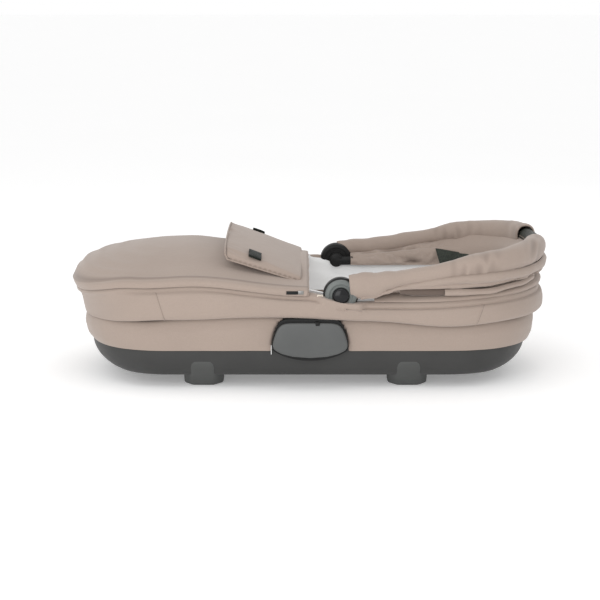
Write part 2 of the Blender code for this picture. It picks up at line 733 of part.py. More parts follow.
def make_mattress():
    """A foam mattress with drawn-in sides and a crowned top."""
    profile = (
        (0.0, MATTRESS_INSET + MATTRESS_WAIST),
        (MATTRESS_LOW_SHARE, MATTRESS_INSET),
        (MATTRESS_MIDDLE_SHARE, MATTRESS_INSET + MATTRESS_WAIST),
        (1.0 - MATTRESS_EDGE_DROP / MATTRESS_THICKNESS, MATTRESS_INSET),
    )
    rings = []
    for share, inset in profile:
        z = MATTRESS_BOTTOM + share * MATTRESS_THICKNESS
        rings.append([s.at(tub_inner_out(s, z) - inset, z) for s in STATIONS])
    edge_z = MATTRESS_TOP
    rim = [s.at(tub_inner_out(s, edge_z) - 2 * MATTRESS_INSET, edge_z) for s in STATIONS]
    rings.append(rim)
    for share in DOME_STEP_SHARES:
        z = edge_z + MATTRESS_CROWN * (1 - (1 - share) ** 2)
        rings.append([point.lerp(spine_point(s, z), share) for point, s in zip(rim, STATIONS)])
        rings[-1] = [Vector((point.x, point.y, z)) for point in rings[-1]]
    return loft("mattress", rings, "white_cloth", cap_first=True)


def upper_profile(station):
    """Outer face of the upper band: round the rim tube, out over the bulge and in under the fold."""
    rim = rim_height(station.x)
    fold = fold_height(station.x)
    points = []
    for step in range(HEM_STEPS):
        angle = HEM_START + (HEM_END - HEM_START) * step / (HEM_STEPS - 1)
        points.append((HEM_RADIUS * math.cos(angle), rim + HEM_RADIUS * math.sin(angle)))
    bulge = station.mix(UPPER_SIDE_BULGE, UPPER_FOOT_BULGE, UPPER_HEAD_BULGE)
    for height_share, bulge_share in UPPER_ROW_SHARES:
        out = HEM_RADIUS + (bulge - HEM_RADIUS) * bulge_share
        points.append((out, fold + height_share * (rim - fold)))
    points.append((bulge - FOLD_TUCK, fold + FOLD_TUCK_RISE))
    return points


def lower_profile(station):
    """Outer face of the lower band at a station, from the tub's edge up to its fold."""
    edge = station.mix(TUB_SIDE_OUT, -TUB_FOOT_SETBACK, -TUB_HEAD_SETBACK)
    fold = fold_height(station.x) - FOLD_GAP
    bottom = TUB_EDGE_HEIGHT + SEAT_GAP
    bulge = station.mix(LOWER_SIDE_BULGE, LOWER_FOOT_BULGE, LOWER_HEAD_BULGE)
    if station.behind_bracket():
        bulge = HOUSING_INNER_OUT - SEAT_GAP - RIM_HALF_WIDTH
        edge = bulge
    points = []
    for height_share, bulge_share in LOWER_ROW_SHARES:
        out = edge + (bulge - edge) * bulge_share
        if height_share > LOWER_ROW_SHARES[2][0]:
            out = bulge - FOLD_TUCK * (1 - bulge_share) / 2
        points.append((out, bottom + height_share * (fold - bottom)))
    tucked = station.mix(LOWER_SIDE_BULGE, LOWER_FOOT_BULGE, LOWER_HEAD_BULGE) - FOLD_TUCK
    points.append((tucked, fold - FOLD_TUCK_RISE))
    return points


def ring_wall(name, profile, thickness, material):
    """A cloth ring round the cot, from a profile at each station."""
    columns = [profile(station) for station in STATIONS]
    rows = []
    for row in range(len(columns[0])):
        rows.append([station.at(*column[row]) for station, column in zip(STATIONS, columns)])
    wall = loft(name, rows, material)
    orient_out(wall)
    return thicken(wall, thickness)


def fold_ends(station):
    """Outward places of the inner edges of the lower and the upper band, where the pleat is sewn."""
    lower = station.mix(LOWER_SIDE_BULGE, LOWER_FOOT_BULGE, LOWER_HEAD_BULGE) - FOLD_TUCK
    upper = station.mix(UPPER_SIDE_BULGE, UPPER_FOOT_BULGE, UPPER_HEAD_BULGE) - FOLD_TUCK
    return lower, upper


def pleat_profile(station):
    """The pleat of cloth tucked inwards behind the fold, sewn to both bands."""
    lower, upper = fold_ends(station)
    fold = fold_height(station.x)
    return [
        (upper - SEAT_GAP, fold + PLEAT_HIGH_REACH),
        (lower - PLEAT_DEPTH, fold),
        (lower - SEAT_GAP, fold - PLEAT_LOW_REACH),
    ]


def lining_profile(station):
    """The white lining, sewn to the rim's hem and hanging down inside the pleat to the tub's flange."""
    rim = rim_height(station.x)
    inner = fold_ends(station)[0] - PLEAT_DEPTH - LINING_CLEARANCE
    reach = HEM_RADIUS + SEAT_GAP
    top = (reach * math.cos(HEM_START), rim + reach * math.sin(HEM_START))
    knee_z = fold_height(station.x) + PLEAT_HIGH_REACH + LINING_CLEARANCE
    return [top, (inner, knee_z), (inner, FLANGE_TOP + LINING_DROP_GAP)]


def hub_cutter(side):
    """The space kept free round a hood hinge."""
    inner = HUB_HOUSING_INNER - CUT_OVERRUN
    outer = HUB_CUP_INNER + HUB_CUP_DEPTH + HUB_CUT_MARGIN
    start = mirrored((HUB_X, inner, HUB_Z), side)
    end = mirrored((HUB_X, outer, HUB_Z), side)
    return cylinder(f"hub_space_{side}", start, end, HUB_CUP_RADIUS + HUB_CUT_MARGIN, collection=CUTTERS)


def rim_loop(name, radius, collection=None):
    """A closed loop of round tube along the rim."""
    line = [station.at(0, rim_height(station.x)) for station in STATIONS]
    loop = mesh_of(tube(name, line, radius, "aluminium", cyclic=True))
    return finish(loop, name, None, collection)


def make_rim():
    """The rim tube and the cloth that hangs from it."""
    rim_loop("rim_tube", RIM_TUBE_RADIUS)
    upper = ring_wall("upper_wall", upper_profile, CLOTH, "taupe_cloth")
    lining = ring_wall("inner_lining", lining_profile, THIN_CLOTH, "white_cloth")
    for _, side in SIDES:
        cutter = hub_cutter(side)
        boolean(upper, cutter)
        boolean(lining, cutter)
    ring_wall("lower_wall", lower_profile, CLOTH, "taupe_cloth")
    ring_wall("wall_pleat", pleat_profile, THIN_CLOTH, "taupe_cloth")


def make_apron():
    """The zipped apron: a low side band, then a crowned top, cut off straight at its open edge."""
    rows = []
    for out_share, height_share in APRON_ROW_SHARES:
        lift = APRON_CLEARANCE + APRON_BAND * height_share
        rows.append([s.at(APRON_OUT * out_share, rim_height(s.x) + lift) for s in STATIONS])
    edge = rows[-1]
    for share in DOME_STEP_SHARES:
        row = []
        for point, station in zip(edge, STATIONS):
            target = spine_point(station, 0)
            z = rim_height(target.x + (point.x - target.x) * (1 - share)) + APRON_CLEARANCE + APRON_BAND
            z += APRON_CROWN * (1 - (1 - share) ** 2)
            flat = Vector((point.x, point.y, 0)).lerp(target, share)
            row.append(Vector((flat.x, flat.y, z)))
        rows.append(row)
    apron = loft("apron", rows, "taupe_cloth")
    orient_up(apron)
    thicken(apron, CLOTH)
    low = (APRON_EDGE_X, -OVERALL_LENGTH, 0)
    high = (OVERALL_LENGTH, OVERALL_LENGTH, OVERALL_LENGTH)
    boolean(apron, box("apron_end", low, high, collection=CUTTERS))


def flap_point(share, angle):
    """A point of the wind flap's upper face, at a share of its length and an angle round its arch."""
    x = FLAP_ROOT_X - FLAP_LENGTH * math.cos(FLAP_TILT) * share
    arch = FLAP_ROOT_ARCH + (FLAP_ARCH - FLAP_ROOT_ARCH) * share
    z = FLAP_EDGE_HEIGHT + FLAP_LENGTH * math.sin(FLAP_TILT) * share + arch * math.sin(angle)
    return Vector((x, -FLAP_HALF_WIDTH * math.cos(angle), z))


def flap_section(share):
    """One arched, lens-shaped section of the wind flap, at a share of its length from its sewn edge."""
    swell = math.sin(math.pi * min(1.0, share) ** FLAP_SWELL_POWER)
    depth = FLAP_EDGE_THICKNESS + (FLAP_THICKNESS - FLAP_EDGE_THICKNESS) * swell
    top = []
    under = []
    for column in range(FLAP_COLUMNS + 1):
        angle = math.pi * column / FLAP_COLUMNS
        point = flap_point(share, angle)
        full = FLAP_EDGE_SHARE + (1 - FLAP_EDGE_SHARE) * math.sin(angle)
        top.append(point)
        under.append(point - Vector((0, 0, depth * full)))
    return top + list(reversed(under))


def make_flap():
    """The wind flap, folded back over the apron, with its two magnet tabs."""
    rows = [flap_section(row / (FLAP_ROWS - 1)) for row in range(FLAP_ROWS)]
    loft("wind_flap", rows, "taupe_cloth", cap_first=True, cap_last=True)
    share, angle_share = MAGNET_PLACE_SHARES
    centre = flap_point(share, math.pi * angle_share)
    along_length = flap_point(share - CUT_OVERRUN, math.pi * angle_share) - centre
    along_arch = flap_point(share, math.pi * (angle_share + CUT_OVERRUN)) - centre
    for name, side in SIDES:
        first = mirrored(along_length, side).normalized()
        normal = first.cross(mirrored(along_arch, side)).normalized()
        normal = -normal if normal.z < 0 else normal
        second = normal.cross(first)
        turn = Matrix((first, second, normal)).transposed().to_4x4()
        half = Vector((MAGNET_LENGTH, MAGNET_WIDTH, MAGNET_THICKNESS)) / 2
        magnet = box(f"flap_magnet_{name}", -half, half, "black_plastic", bevel=MAGNET_THICKNESS / 4)
        lift = normal * (MAGNET_THICKNESS / 2 + MAGNET_LIFT)
        magnet.matrix_world = Matrix.Translation(mirrored(centre, side) + lift) @ turn


def make_zip_ends():
    """A slider and its pull at each end of the apron's zip."""
    z = rim_height(SLIDER_X) + APRON_CLEARANCE + APRON_BAND * SLIDER_BAND_SHARE
    middle = SLIDER_INNER_OUT + SLIDER_THICKNESS / 2
    for name, side in SIDES:
        low = Vector((SLIDER_X - SLIDER_LENGTH / 2, SLIDER_INNER_OUT, z - SLIDER_HEIGHT / 2))
        high = low + Vector((SLIDER_LENGTH, SLIDER_THICKNESS, SLIDER_HEIGHT))
        make_mirrored_box(f"zip_slider_{name}", low, high, side, "steel", SLIDER_THICKNESS / 4)
        low = Vector((PULL_RIGHT - PULL_LENGTH, middle - PULL_THICKNESS / 2, z - PULL_HEIGHT / 2))
        high = low + Vector((PULL_LENGTH, PULL_THICKNESS, PULL_HEIGHT))
        make_mirrored_box(f"zip_pull_{name}", low, high, side, "black_plastic", PULL_THICKNESS / 4)
        pivot = mirrored((PULL_RIGHT - PULL_THICKNESS / 2, middle, z), side)
        hang(f"zip_pull_{name}_pivot", pivot, "rim_frame")


def make_mirrored_box(name, low, high, side, material, bevel=0.0, collection=None):
    """A box given on the far side, made on either side."""
    a, b = mirrored(low, side), mirrored(high, side)
    corner = Vector((min(a.x, b.x), min(a.y, b.y), min(a.z, b.z)))
    other = Vector((max(a.x, b.x), max(a.y, b.y), max(a.z, b.z)))
    return box(name, corner, other, material, bevel, collection)


def bow_line(arm_out, reach, tilt, start, arch=0.0, count=BOW_POINTS):
    """Evenly spaced points along a U-shaped bow from its near hinge round the head end to its far hinge."""
    straight = reach - BOW_END_LENGTH
    dense = [(start, -arm_out)]
    end = end_curve(BOW_END_LENGTH, arm_out, HEAD_END_POWER, BOW_POINTS)
    dense += [(straight + r, y) for r, y in reversed(end)]
    dense.append((start, arm_out))
    spans = [math.dist(a, b) for a, b in zip(dense, dense[1:])]
    total = sum(spans)
    line = []
    for number in range(count):
        goal = total * number / (count - 1)
        index = 0
        while index < len(spans) - 1 and goal > spans[index]:
            goal -= spans[index]
            index += 1
        share = min(1.0, goal / spans[index])
        r = dense[index][0] + (dense[index + 1][0] - dense[index][0]) * share
        y = dense[index][1] + (dense[index + 1][1] - dense[index][1]) * share
        rise = arch * math.sin(math.pi * max(0.0, r - SOCKET_END) / (reach - SOCKET_END)) ** 2
        line.append(Vector((HUB_X + r * math.cos(tilt), y, HUB_Z + r * math.sin(tilt) + rise)))
    return line


def portion(points, start, end):
    """The piece of a line of points between two distances along it, without a sliver at either end."""
    piece = []
    done = 0.0
    for a, b in zip(points, points[1:]):
        span = (b - a).length
        if end - done > LEAST_STEP and done + span - start > LEAST_STEP:
            if not piece:
                piece.append(a.lerp(b, max(0.0, start - done) / span))
            piece.append(a.lerp(b, min(1.0, (end - done) / span)))
        done += span
    return piece


def length_of(points):
    """The length of a line of points."""
    return sum((b - a).length for a, b in zip(points, points[1:]))


def headness(point):
    """How near a point of a bow is to the head end, from 0 at the hinge to 1."""
    return ease(min(1.0, max(0.0, (point.x - HUB_X) / (HANDLE_END_X - SLEEVE_END_SETBACK - HUB_X))))


def bow_radii(points, arm_radius, head_radius):
    """A sleeve's radius at each point, fuller towards the head end."""
    return [arm_radius + (head_radius - arm_radius) * headness(point) for point in points]


def make_handle():
    """The carry handle: its tube, a padded sleeve on each half and the bare grip in the middle."""
    line = bow_line(HANDLE_ARM_OUT, HANDLE_REACH, HANDLE_TILT, SOCKET_START + 2 * SEAT_GAP, HANDLE_ARCH)
    tube("handle_tube", line, HANDLE_TUBE_RADIUS, "aluminium")
    middle = length_of(line) / 2
    near = portion(line, SEAT_GAP, middle - GRIP_LENGTH / 2 - SEAT_GAP)
    radii = bow_radii(near, HANDLE_SLEEVE_RADIUS, HANDLE_HEAD_RADIUS)
    for name, side in SIDES:
        points = [mirrored(point, -side) for point in near]
        sleeve(f"handle_sleeve_{name}", points, radii, HANDLE_SLEEVE_WALL, "taupe_cloth")
    grip = portion(line, middle - GRIP_LENGTH / 2, middle + GRIP_LENGTH / 2)
    sleeve("handle_grip", grip, [GRIP_RADIUS] * len(grip), GRIP_WALL, "handle_leatherette")


def make_rear_bow():
    """The hood's rear bow in its cloth tunnel."""
    line = bow_line(REAR_ARM_OUT, REAR_REACH, REAR_TILT, REAR_EYE_RADIUS + 2 * SEAT_GAP, count=BOW_POINTS - 8)
    tube("rear_bow", line, REAR_TUBE_RADIUS, "steel", resolution=1)
    skipped = REAR_SLEEVE_START - REAR_EYE_RADIUS
    tunnel = portion(line, skipped, length_of(line) - skipped)
    radii = bow_radii(tunnel, REAR_SLEEVE_RADIUS, REAR_HEAD_RADIUS)
    sleeve("rear_bow_sleeve", tunnel, radii, REAR_SLEEVE_WALL, "taupe_cloth", resolution=1)


def hood_direction(tilt):
    """The direction of a bow's arms away from the hinge."""
    return Vector((math.cos(tilt), 0, math.sin(tilt)))


def make_hub(name, side):
    """One hood hinge: housing on the rim, pivot pin, rear bow's eye, handle's cup and release button."""

    def place(out, radial=0.0, direction=Vector((1, 0, 0))):
        return mirrored(Vector((HUB_X, out, HUB_Z)) + direction * radial, side)

    housing_inner, housing_outer = place(HUB_HOUSING_INNER), place(HUB_HOUSING_OUTER)
    housing = cylinder(
        f"hub_housing_{name}",
        housing_inner,
        housing_outer,
        HUB_HOUSING_RADIUS,
        "black_plastic",
    )
    boolean(housing, RIM_SPACE)
    pin_hole = cylinder(
        f"pin_bore_{name}",
        place(HUB_HOUSING_INNER - CUT_OVERRUN),
        place(HUB_HOUSING_OUTER + CUT_OVERRUN),
        HUB_PIN_RADIUS + SEAT_GAP,
        collection=CUTTERS,
    )
    boolean(housing, pin_hole)
    pin_inner = REAR_EYE_INNER + SEAT_GAP
    cylinder(f"hub_pin_{name}", place(pin_inner), place(HUB_HOUSING_OUTER), HUB_PIN_RADIUS, "steel")

    eye_outer = HUB_HOUSING_INNER - SEAT_GAP
    eye_start, eye_end = place(REAR_EYE_INNER), place(eye_outer)
    eye = cylinder(f"rear_bow_eye_{name}", eye_start, eye_end, REAR_EYE_RADIUS, "black_plastic")
    eye_hole = cylinder(
        f"eye_bore_{name}",
        place(REAR_EYE_INNER - CUT_OVERRUN),
        place(eye_outer + CUT_OVERRUN),
        HUB_PIN_RADIUS + SEAT_GAP,
        collection=CUTTERS,
    )
    boolean(eye, eye_hole)

    cup_outer = HUB_CUP_INNER + HUB_CUP_DEPTH
    cup = cylinder(
        f"handle_hub_{name}",
        place(HUB_CUP_INNER),
        place(cup_outer),
        HUB_CUP_RADIUS,
        "grey_plastic",
    )
    bevel = cup.modifiers.new("rounded", "BEVEL")
    bevel.width = HUB_CUP_WEB
    bevel.segments = 2
    bevel.limit_method = "ANGLE"
    arm = hood_direction(HANDLE_TILT)
    neck = make_mirrored_box(
        f"neck_{name}",
        Vector((HUB_BUTTON_RADIUS + HUB_CUP_WEB, HUB_CUP_INNER, -SOCKET_NECK_HEIGHT / 2)),
        Vector((SOCKET_START + HUB_CUP_WEB, cup_outer - HUB_CUP_WEB, SOCKET_NECK_HEIGHT / 2)),
        side,
        None,
        collection=CUTTERS,
    )
    tilt = Matrix.Rotation(-HANDLE_TILT, 4, "Y")
    neck.matrix_world = Matrix.Translation((HUB_X, 0, HUB_Z)) @ tilt
    socket_start = place(HANDLE_ARM_OUT, SOCKET_START - HUB_CUP_WEB, arm)
    socket_end = place(HANDLE_ARM_OUT, SOCKET_END, arm)
    socket = cylinder(f"socket_{name}", socket_start, socket_end, SOCKET_RADIUS, None, CUTTERS, segments=20)
    bore_start = place(HANDLE_ARM_OUT, SOCKET_START + SEAT_GAP, arm)
    bore_end = place(HANDLE_ARM_OUT, SOCKET_END + CUT_OVERRUN, arm)
    bore_radius = HANDLE_TUBE_RADIUS + SEAT_GAP
    socket_bore = cylinder(
        f"socket_bore_{name}",
        bore_start,
        bore_end,
        bore_radius,
        collection=CUTTERS,
        segments=20,
    )
    well = cylinder(
        f"button_well_{name}",
        place(HUB_CUP_INNER + HUB_CUP_WEB),
        place(HUB_CUP_INNER + HUB_CUP_DEPTH + CUT_OVERRUN),
        HUB_BUTTON_RADIUS + SEAT_GAP,
        collection=CUTTERS,
    )
    boolean(cup, neck, "UNION")
    boolean(cup, socket, "UNION")
    boolean(cup, socket_bore)
    boolean(cup, well)

    button_inner = HUB_CUP_INNER + HUB_CUP_WEB + SEAT_GAP + HUB_BUTTON_TRAVEL
    button = cylinder(
        f"hub_button_{name}",
        place(button_inner),
        place(button_inner + HUB_BUTTON_DEPTH),
        HUB_BUTTON_RADIUS,
        "gloss_plastic",
    )
    hang(f"hub_button_{name}_pivot", place(button_inner), "hood_front_pivot")
    crown = button.modifiers.new("rounded", "BEVEL")
    crown.width = HUB_BUTTON_DOME
    crown.segments = 1
    crown.limit_method = "ANGLE"


def gore_path(arm_out, reach, tilt, arch=0.0):
    """Stations of the hood cloth along one bow, clear of the hinges."""
    line = bow_line(arm_out, reach, tilt, SOCKET_START, arch, GORE_STATIONS * 2)
    skip = int(len(line) * GORE_START_SHARE / 2)
    return line[skip : len(line) - skip : 2] + [line[-skip]]


def inward_of(line):
    """Level direction from each point of a bow to the inside of the hood."""
    found = []
    for index in range(len(line)):
        before = line[max(0, index - 1)]
        after = line[min(len(line) - 1, index + 1)]
        run = after - before
        found.append(Vector((-run.y, run.x, 0)).normalized())
    return found


def make_gores():
    """The hood's cloth: the front gore sags inside the bows and the rear gore swells out over the rim."""
    front = gore_path(HANDLE_ARM_OUT, HANDLE_REACH, HANDLE_TILT, HANDLE_ARCH)
    rear = gore_path(REAR_ARM_OUT, REAR_REACH, REAR_TILT)
    rim = gore_path(RIM_HALF_WIDTH, RIM_HEAD_X - HUB_X, 0)
    inward = inward_of(rear)
    front_radii = bow_radii(front, HANDLE_SLEEVE_RADIUS, HANDLE_HEAD_RADIUS)
    rear_radii = bow_radii(rear, REAR_SLEEVE_RADIUS, REAR_HEAD_RADIUS)
    front_rows = [[] for _ in FRONT_GORE_SHARES]
    rear_rows = [[] for _ in REAR_GORE_SHARES]
    up = Vector((0, 0, 1))
    for place, (f, r, m, n) in enumerate(zip(front, rear, rim, inward)):
        front_gap = front_radii[place] + SEAT_GAP
        rear_gap = rear_radii[place] + SEAT_GAP
        fold = 1 + GORE_FOLD_SHARE * math.cos(2 * math.pi * place / GORE_FOLD_STEPS)
        sag = (GORE_SAG + GORE_HEAD_SAG * headness(r) ** 2) * fold
        start = r + n * (rear_gap + 3 * SEAT_GAP)
        end = f + n * front_gap - up * front_gap * GORE_TUCK * headness(r)
        for row, (share, swell) in zip(front_rows, FRONT_GORE_SHARES):
            row.append(start.lerp(end, share) + n * sag * swell)
        hem = HEM_RADIUS + 2 * SEAT_GAP
        start = Vector((m.x, m.y, rim_height(m.x))) + up * hem * REAR_GORE_RISE - n * hem * REAR_GORE_OUT
        end = r - n * rear_gap * REAR_GORE_SIDE - up * rear_gap * REAR_GORE_UNDER
        for row, (share, swell) in zip(rear_rows, REAR_GORE_SHARES):
            row.append(start.lerp(end, share) - n * REAR_GORE_BULGE * swell)
    for name, rows, outward in (("hood_front_gore", front_rows, False), ("hood_rear_gore", rear_rows, True)):
        gore = loft(name, rows, "taupe_cloth", closed=False)
        orient_out(gore)
        thicken(gore, THIN_CLOTH, outward)


def bracket_outline(margin, top_margin):
    """The bracket's face seen from the side, as (x, z): flat top with round shoulders and a curved foot."""
    half = BRACKET_HALF_LENGTH + margin
    top = BRACKET_TOP + top_margin
    top_half = half * BRACKET_TOP_SHARE
    shoulder_half = half * BRACKET_SHOULDER_SHARE
    points = []
    for step in range(ARC_POINTS):
        angle = math.pi / 2 * step / (ARC_POINTS - 1)
        x = top_half + (shoulder_half - top_half) * math.sin(angle)
        z = BRACKET_SHOULDER + (top - BRACKET_SHOULDER) * math.cos(angle)
        points.append((x, z))
    sag = BRACKET_CORNER - (BRACKET_BOTTOM - margin)
    for step in range(ARC_POINTS + 1):
        angle = math.pi * step / (ARC_POINTS + 1) / 2
        points.append((half * math.cos(angle), BRACKET_CORNER - sag * math.sin(angle) ** BRACKET_FOOT_POWER))
    right = points
    left = [(-x, z) for x, z in reversed(right)]
    return right + [(0.0, BRACKET_BOTTOM - margin)] + left


def plate(name, outline, y_low, y_high, material, side, collection=None):
    """A flat plate with an outline in X and Z, between two places along Y on one side."""
    curve = bpy.data.curves.new(name, "CURVE")
    curve.dimensions = "2D"
    curve.fill_mode = "BOTH"
    curve.extrude = (y_high - y_low) / 2
    spline = curve.splines.new("POLY")
    spline.points.add(len(outline) - 1)
    for place, (x, z) in zip(spline.points, outline):
        place.co = (x, z, 0, 1)
    spline.use_cyclic_u = True
    obj = finish(bpy.data.objects.new(name, curve), name, material)
    place = Matrix.Translation((0, (y_low + y_high) / 2 * side, 0))
    obj.matrix_world = place @ Matrix.Rotation(math.pi / 2, 4, "X")
    bpy.context.view_layer.update()
    return finish(mesh_of(obj), name, None, collection)


def make_bracket(name, side):
    """One side bracket: back plate, guide round the socket, face plate, release paddle and latch."""
    outline = bracket_outline(HOUSING_MARGIN, HOUSING_TOP_MARGIN)
    layers = (
        ("housing", HOUSING_ROOT_OUT, GUIDE_INNER_OUT - SEAT_GAP),
        ("guide", GUIDE_INNER_OUT, GUIDE_OUTER_OUT),
        ("face", GUIDE_OUTER_OUT + SEAT_GAP, HOUSING_OUTER_OUT),
    )
    housing, guide, face = [
        plate(f"bracket_{layer}_{name}", outline, inner, outer, "black_plastic", side)
        for layer, inner, outer in layers
    ]

    def cut(solid, label, half_length, inner, outer, low_z, high_z):
        low = Vector((-half_length, inner, low_z))
        cutter = make_mirrored_box(
            f"{label}_{name}", low, Vector((half_length, outer, high_z)), side, None, collection=CUTTERS
        )
        boolean(solid, cutter)

    reach = BRACKET_HALF_LENGTH + HOUSING_MARGIN + CUT_OVERRUN
    cloth_inner = HOUSING_ROOT_OUT - CUT_OVERRUN
    cloth_low = TUB_EDGE_HEIGHT - SEAT_GAP
    cut(housing, "cloth_space", reach, cloth_inner, HOUSING_INNER_OUT, cloth_low, BRACKET_TOP + CUT_OVERRUN)
    boolean(housing, TUB_SPACE)
    slot_inner = GUIDE_INNER_OUT - CUT_OVERRUN
    slot_outer = GUIDE_OUTER_OUT + CUT_OVERRUN
    slot_low = BRACKET_BOTTOM - CUT_OVERRUN
    slot_high = BRACKET_BOTTOM + SOCKET_SLOT_DEPTH
    cut(guide, "slot", SOCKET_SLOT_LENGTH / 2, slot_inner, slot_outer, slot_low, slot_high)
    past_face = HOUSING_OUTER_OUT + CUT_OVERRUN
    half = LATCH_HEIGHT / 2 + SEAT_GAP
    window_length = LATCH_LENGTH / 2 + SEAT_GAP
    cut(face, "window", window_length, SLOT_MIDDLE_OUT, past_face, LATCH_Z - half, LATCH_Z + half)
    pin_y = HOUSING_OUTER_OUT - PIVOT_EAR_SIZE / 2
    room = PIVOT_EAR_SIZE / 2 + SEAT_GAP * 3
    for solid, label in ((guide, "pin_groove"), (face, "ear_groove")):
        groove_length = PIVOT_PIN_LENGTH / 2 + SEAT_GAP
        cut(solid, label, groove_length, pin_y - room, past_face, PIVOT_HEIGHT - room, PIVOT_HEIGHT + room)

    paddle = plate(
        f"release_paddle_{name}",
        bracket_outline(0.0, -PADDLE_TOP_DROP),
        PADDLE_INNER_OUT,
        PADDLE_INNER_OUT + PADDLE_THICKNESS,
        "grey_plastic",
        side,
    )
    edge = paddle.modifiers.new("rounded", "BEVEL")
    edge.width = PADDLE_BEVEL
    edge.segments = 1
    edge.limit_method = "ANGLE"
    ear_half = PIVOT_EAR_SIZE / 2
    ear_outer = PADDLE_INNER_OUT + PADDLE_THICKNESS / 2
    for number, ear_x in enumerate((-1, 1)):
        centre = ear_x * (PIVOT_PIN_LENGTH / 2 - PIVOT_EAR_LENGTH)
        ear = make_mirrored_box(
            f"ear_{name}_{number}",
            Vector((centre - PIVOT_EAR_LENGTH / 2, pin_y - ear_half, PIVOT_HEIGHT - ear_half)),
            Vector((centre + PIVOT_EAR_LENGTH / 2, ear_outer, PIVOT_HEIGHT + ear_half)),
            side,
            None,
            collection=CUTTERS,
        )
        boolean(paddle, ear, "UNION")
    pin_start = mirrored((-PIVOT_PIN_LENGTH / 2, pin_y, PIVOT_HEIGHT), side)
    pin_end = mirrored((PIVOT_PIN_LENGTH / 2, pin_y, PIVOT_HEIGHT), side)
    pin_bore = cylinder(
        f"paddle_bore_{name}",
        pin_start - Vector((CUT_OVERRUN, 0, 0)),
        pin_end + Vector((CUT_OVERRUN, 0, 0)),
        (PIVOT_PIN_RADIUS + PIVOT_EAR_SIZE / 2) / 2,
        collection=CUTTERS,
        segments=12,
    )
    boolean(paddle, pin_bore)
    cylinder(f"paddle_pin_{name}", pin_start, pin_end, PIVOT_PIN_RADIUS - SEAT_GAP, "steel", segments=12)

    hang(f"paddle_{name}_pivot", mirrored((0, pin_y, PIVOT_HEIGHT), side))
    hang(f"latch_{name}_pivot", mirrored((0, SLOT_MIDDLE_OUT, LATCH_Z), side))
    latch_outer = HOUSING_OUTER_OUT - SEAT_GAP
    make_mirrored_box(
        f"latch_{name}",
        Vector((-LATCH_LENGTH / 2, latch_outer - LATCH_DEPTH, LATCH_Z - LATCH_HEIGHT / 2)),
        Vector((LATCH_LENGTH / 2, latch_outer, LATCH_Z + LATCH_HEIGHT / 2)),
        side,
        "steel",
        bevel=PADDLE_BEVEL / 2,
    )


def rounded_ring(x, y, half_x, half_y, z):
    """A level rectangle with rounded corners, as a ring of points."""
    ring = []
    for quarter, (sign_x, sign_y) in enumerate(((1, 1), (-1, 1), (-1, -1), (1, -1))):
        for step in range(FOOT_CORNER_STEPS):
            angle = math.pi / 2 * (quarter + step / (FOOT_CORNER_STEPS - 1))
            corner_x = sign_x * (half_x - FOOT_CORNER) + FOOT_CORNER * math.cos(angle)
            corner_y = sign_y * (half_y - FOOT_CORNER) + FOOT_CORNER * math.sin(angle)
            ring.append(Vector((x + corner_x, y + corner_y, z)))
    return ring


def make_feet():
    """Four moulded feet under the tub, each held by a screw from below."""
    for end_name, end in ENDS:
        x = FEET_CENTRE_X + end * FOOT_SPACING / 2
        for side_name, side in SIDES:
            rows = []
            for z, outer, inset in (
                (0.0, FOOT_SOLE_OUT - FOOT_SOLE_ROUND, FOOT_SOLE_ROUND),
                (FOOT_SOLE_ROUND, FOOT_SOLE_OUT, 0.0),
                (FOOT_TOP_HEIGHT, FOOT_OUTER_OUT, 0.0),
            ):
                half_x = FOOT_LENGTH / 2 - inset
                half_y = (outer - FOOT_SOLE_OUT + FOOT_DEPTH - inset) / 2
                rows.append(rounded_ring(x, (outer - half_y) * side, half_x, half_y, z))
            foot = loft(f"foot_{end_name}_{side_name}", rows, "tub_plastic", cap_first=True, cap_last=True)
            boolean(foot, TUB_SPACE)
            axis_y = (FOOT_SOLE_OUT - FOOT_DEPTH / 2) * side
            well_top = SCREW_HEAD_DEPTH + SCREW_WELL_LENGTH
            well = cylinder(
                f"screw_well_{end_name}_{side_name}",
                (x, axis_y, -CUT_OVERRUN),
                (x, axis_y, well_top),
                SCREW_HEAD_RADIUS + SEAT_GAP,
                collection=CUTTERS,
                segments=16,
            )
            boolean(foot, well)
            cylinder(
                f"foot_screw_{end_name}_{side_name}",
                (x, axis_y, well_top - SCREW_HEAD_DEPTH),
                (x, axis_y, well_top - SEAT_GAP),
                SCREW_HEAD_RADIUS,
                "steel",
                segments=12,
            )


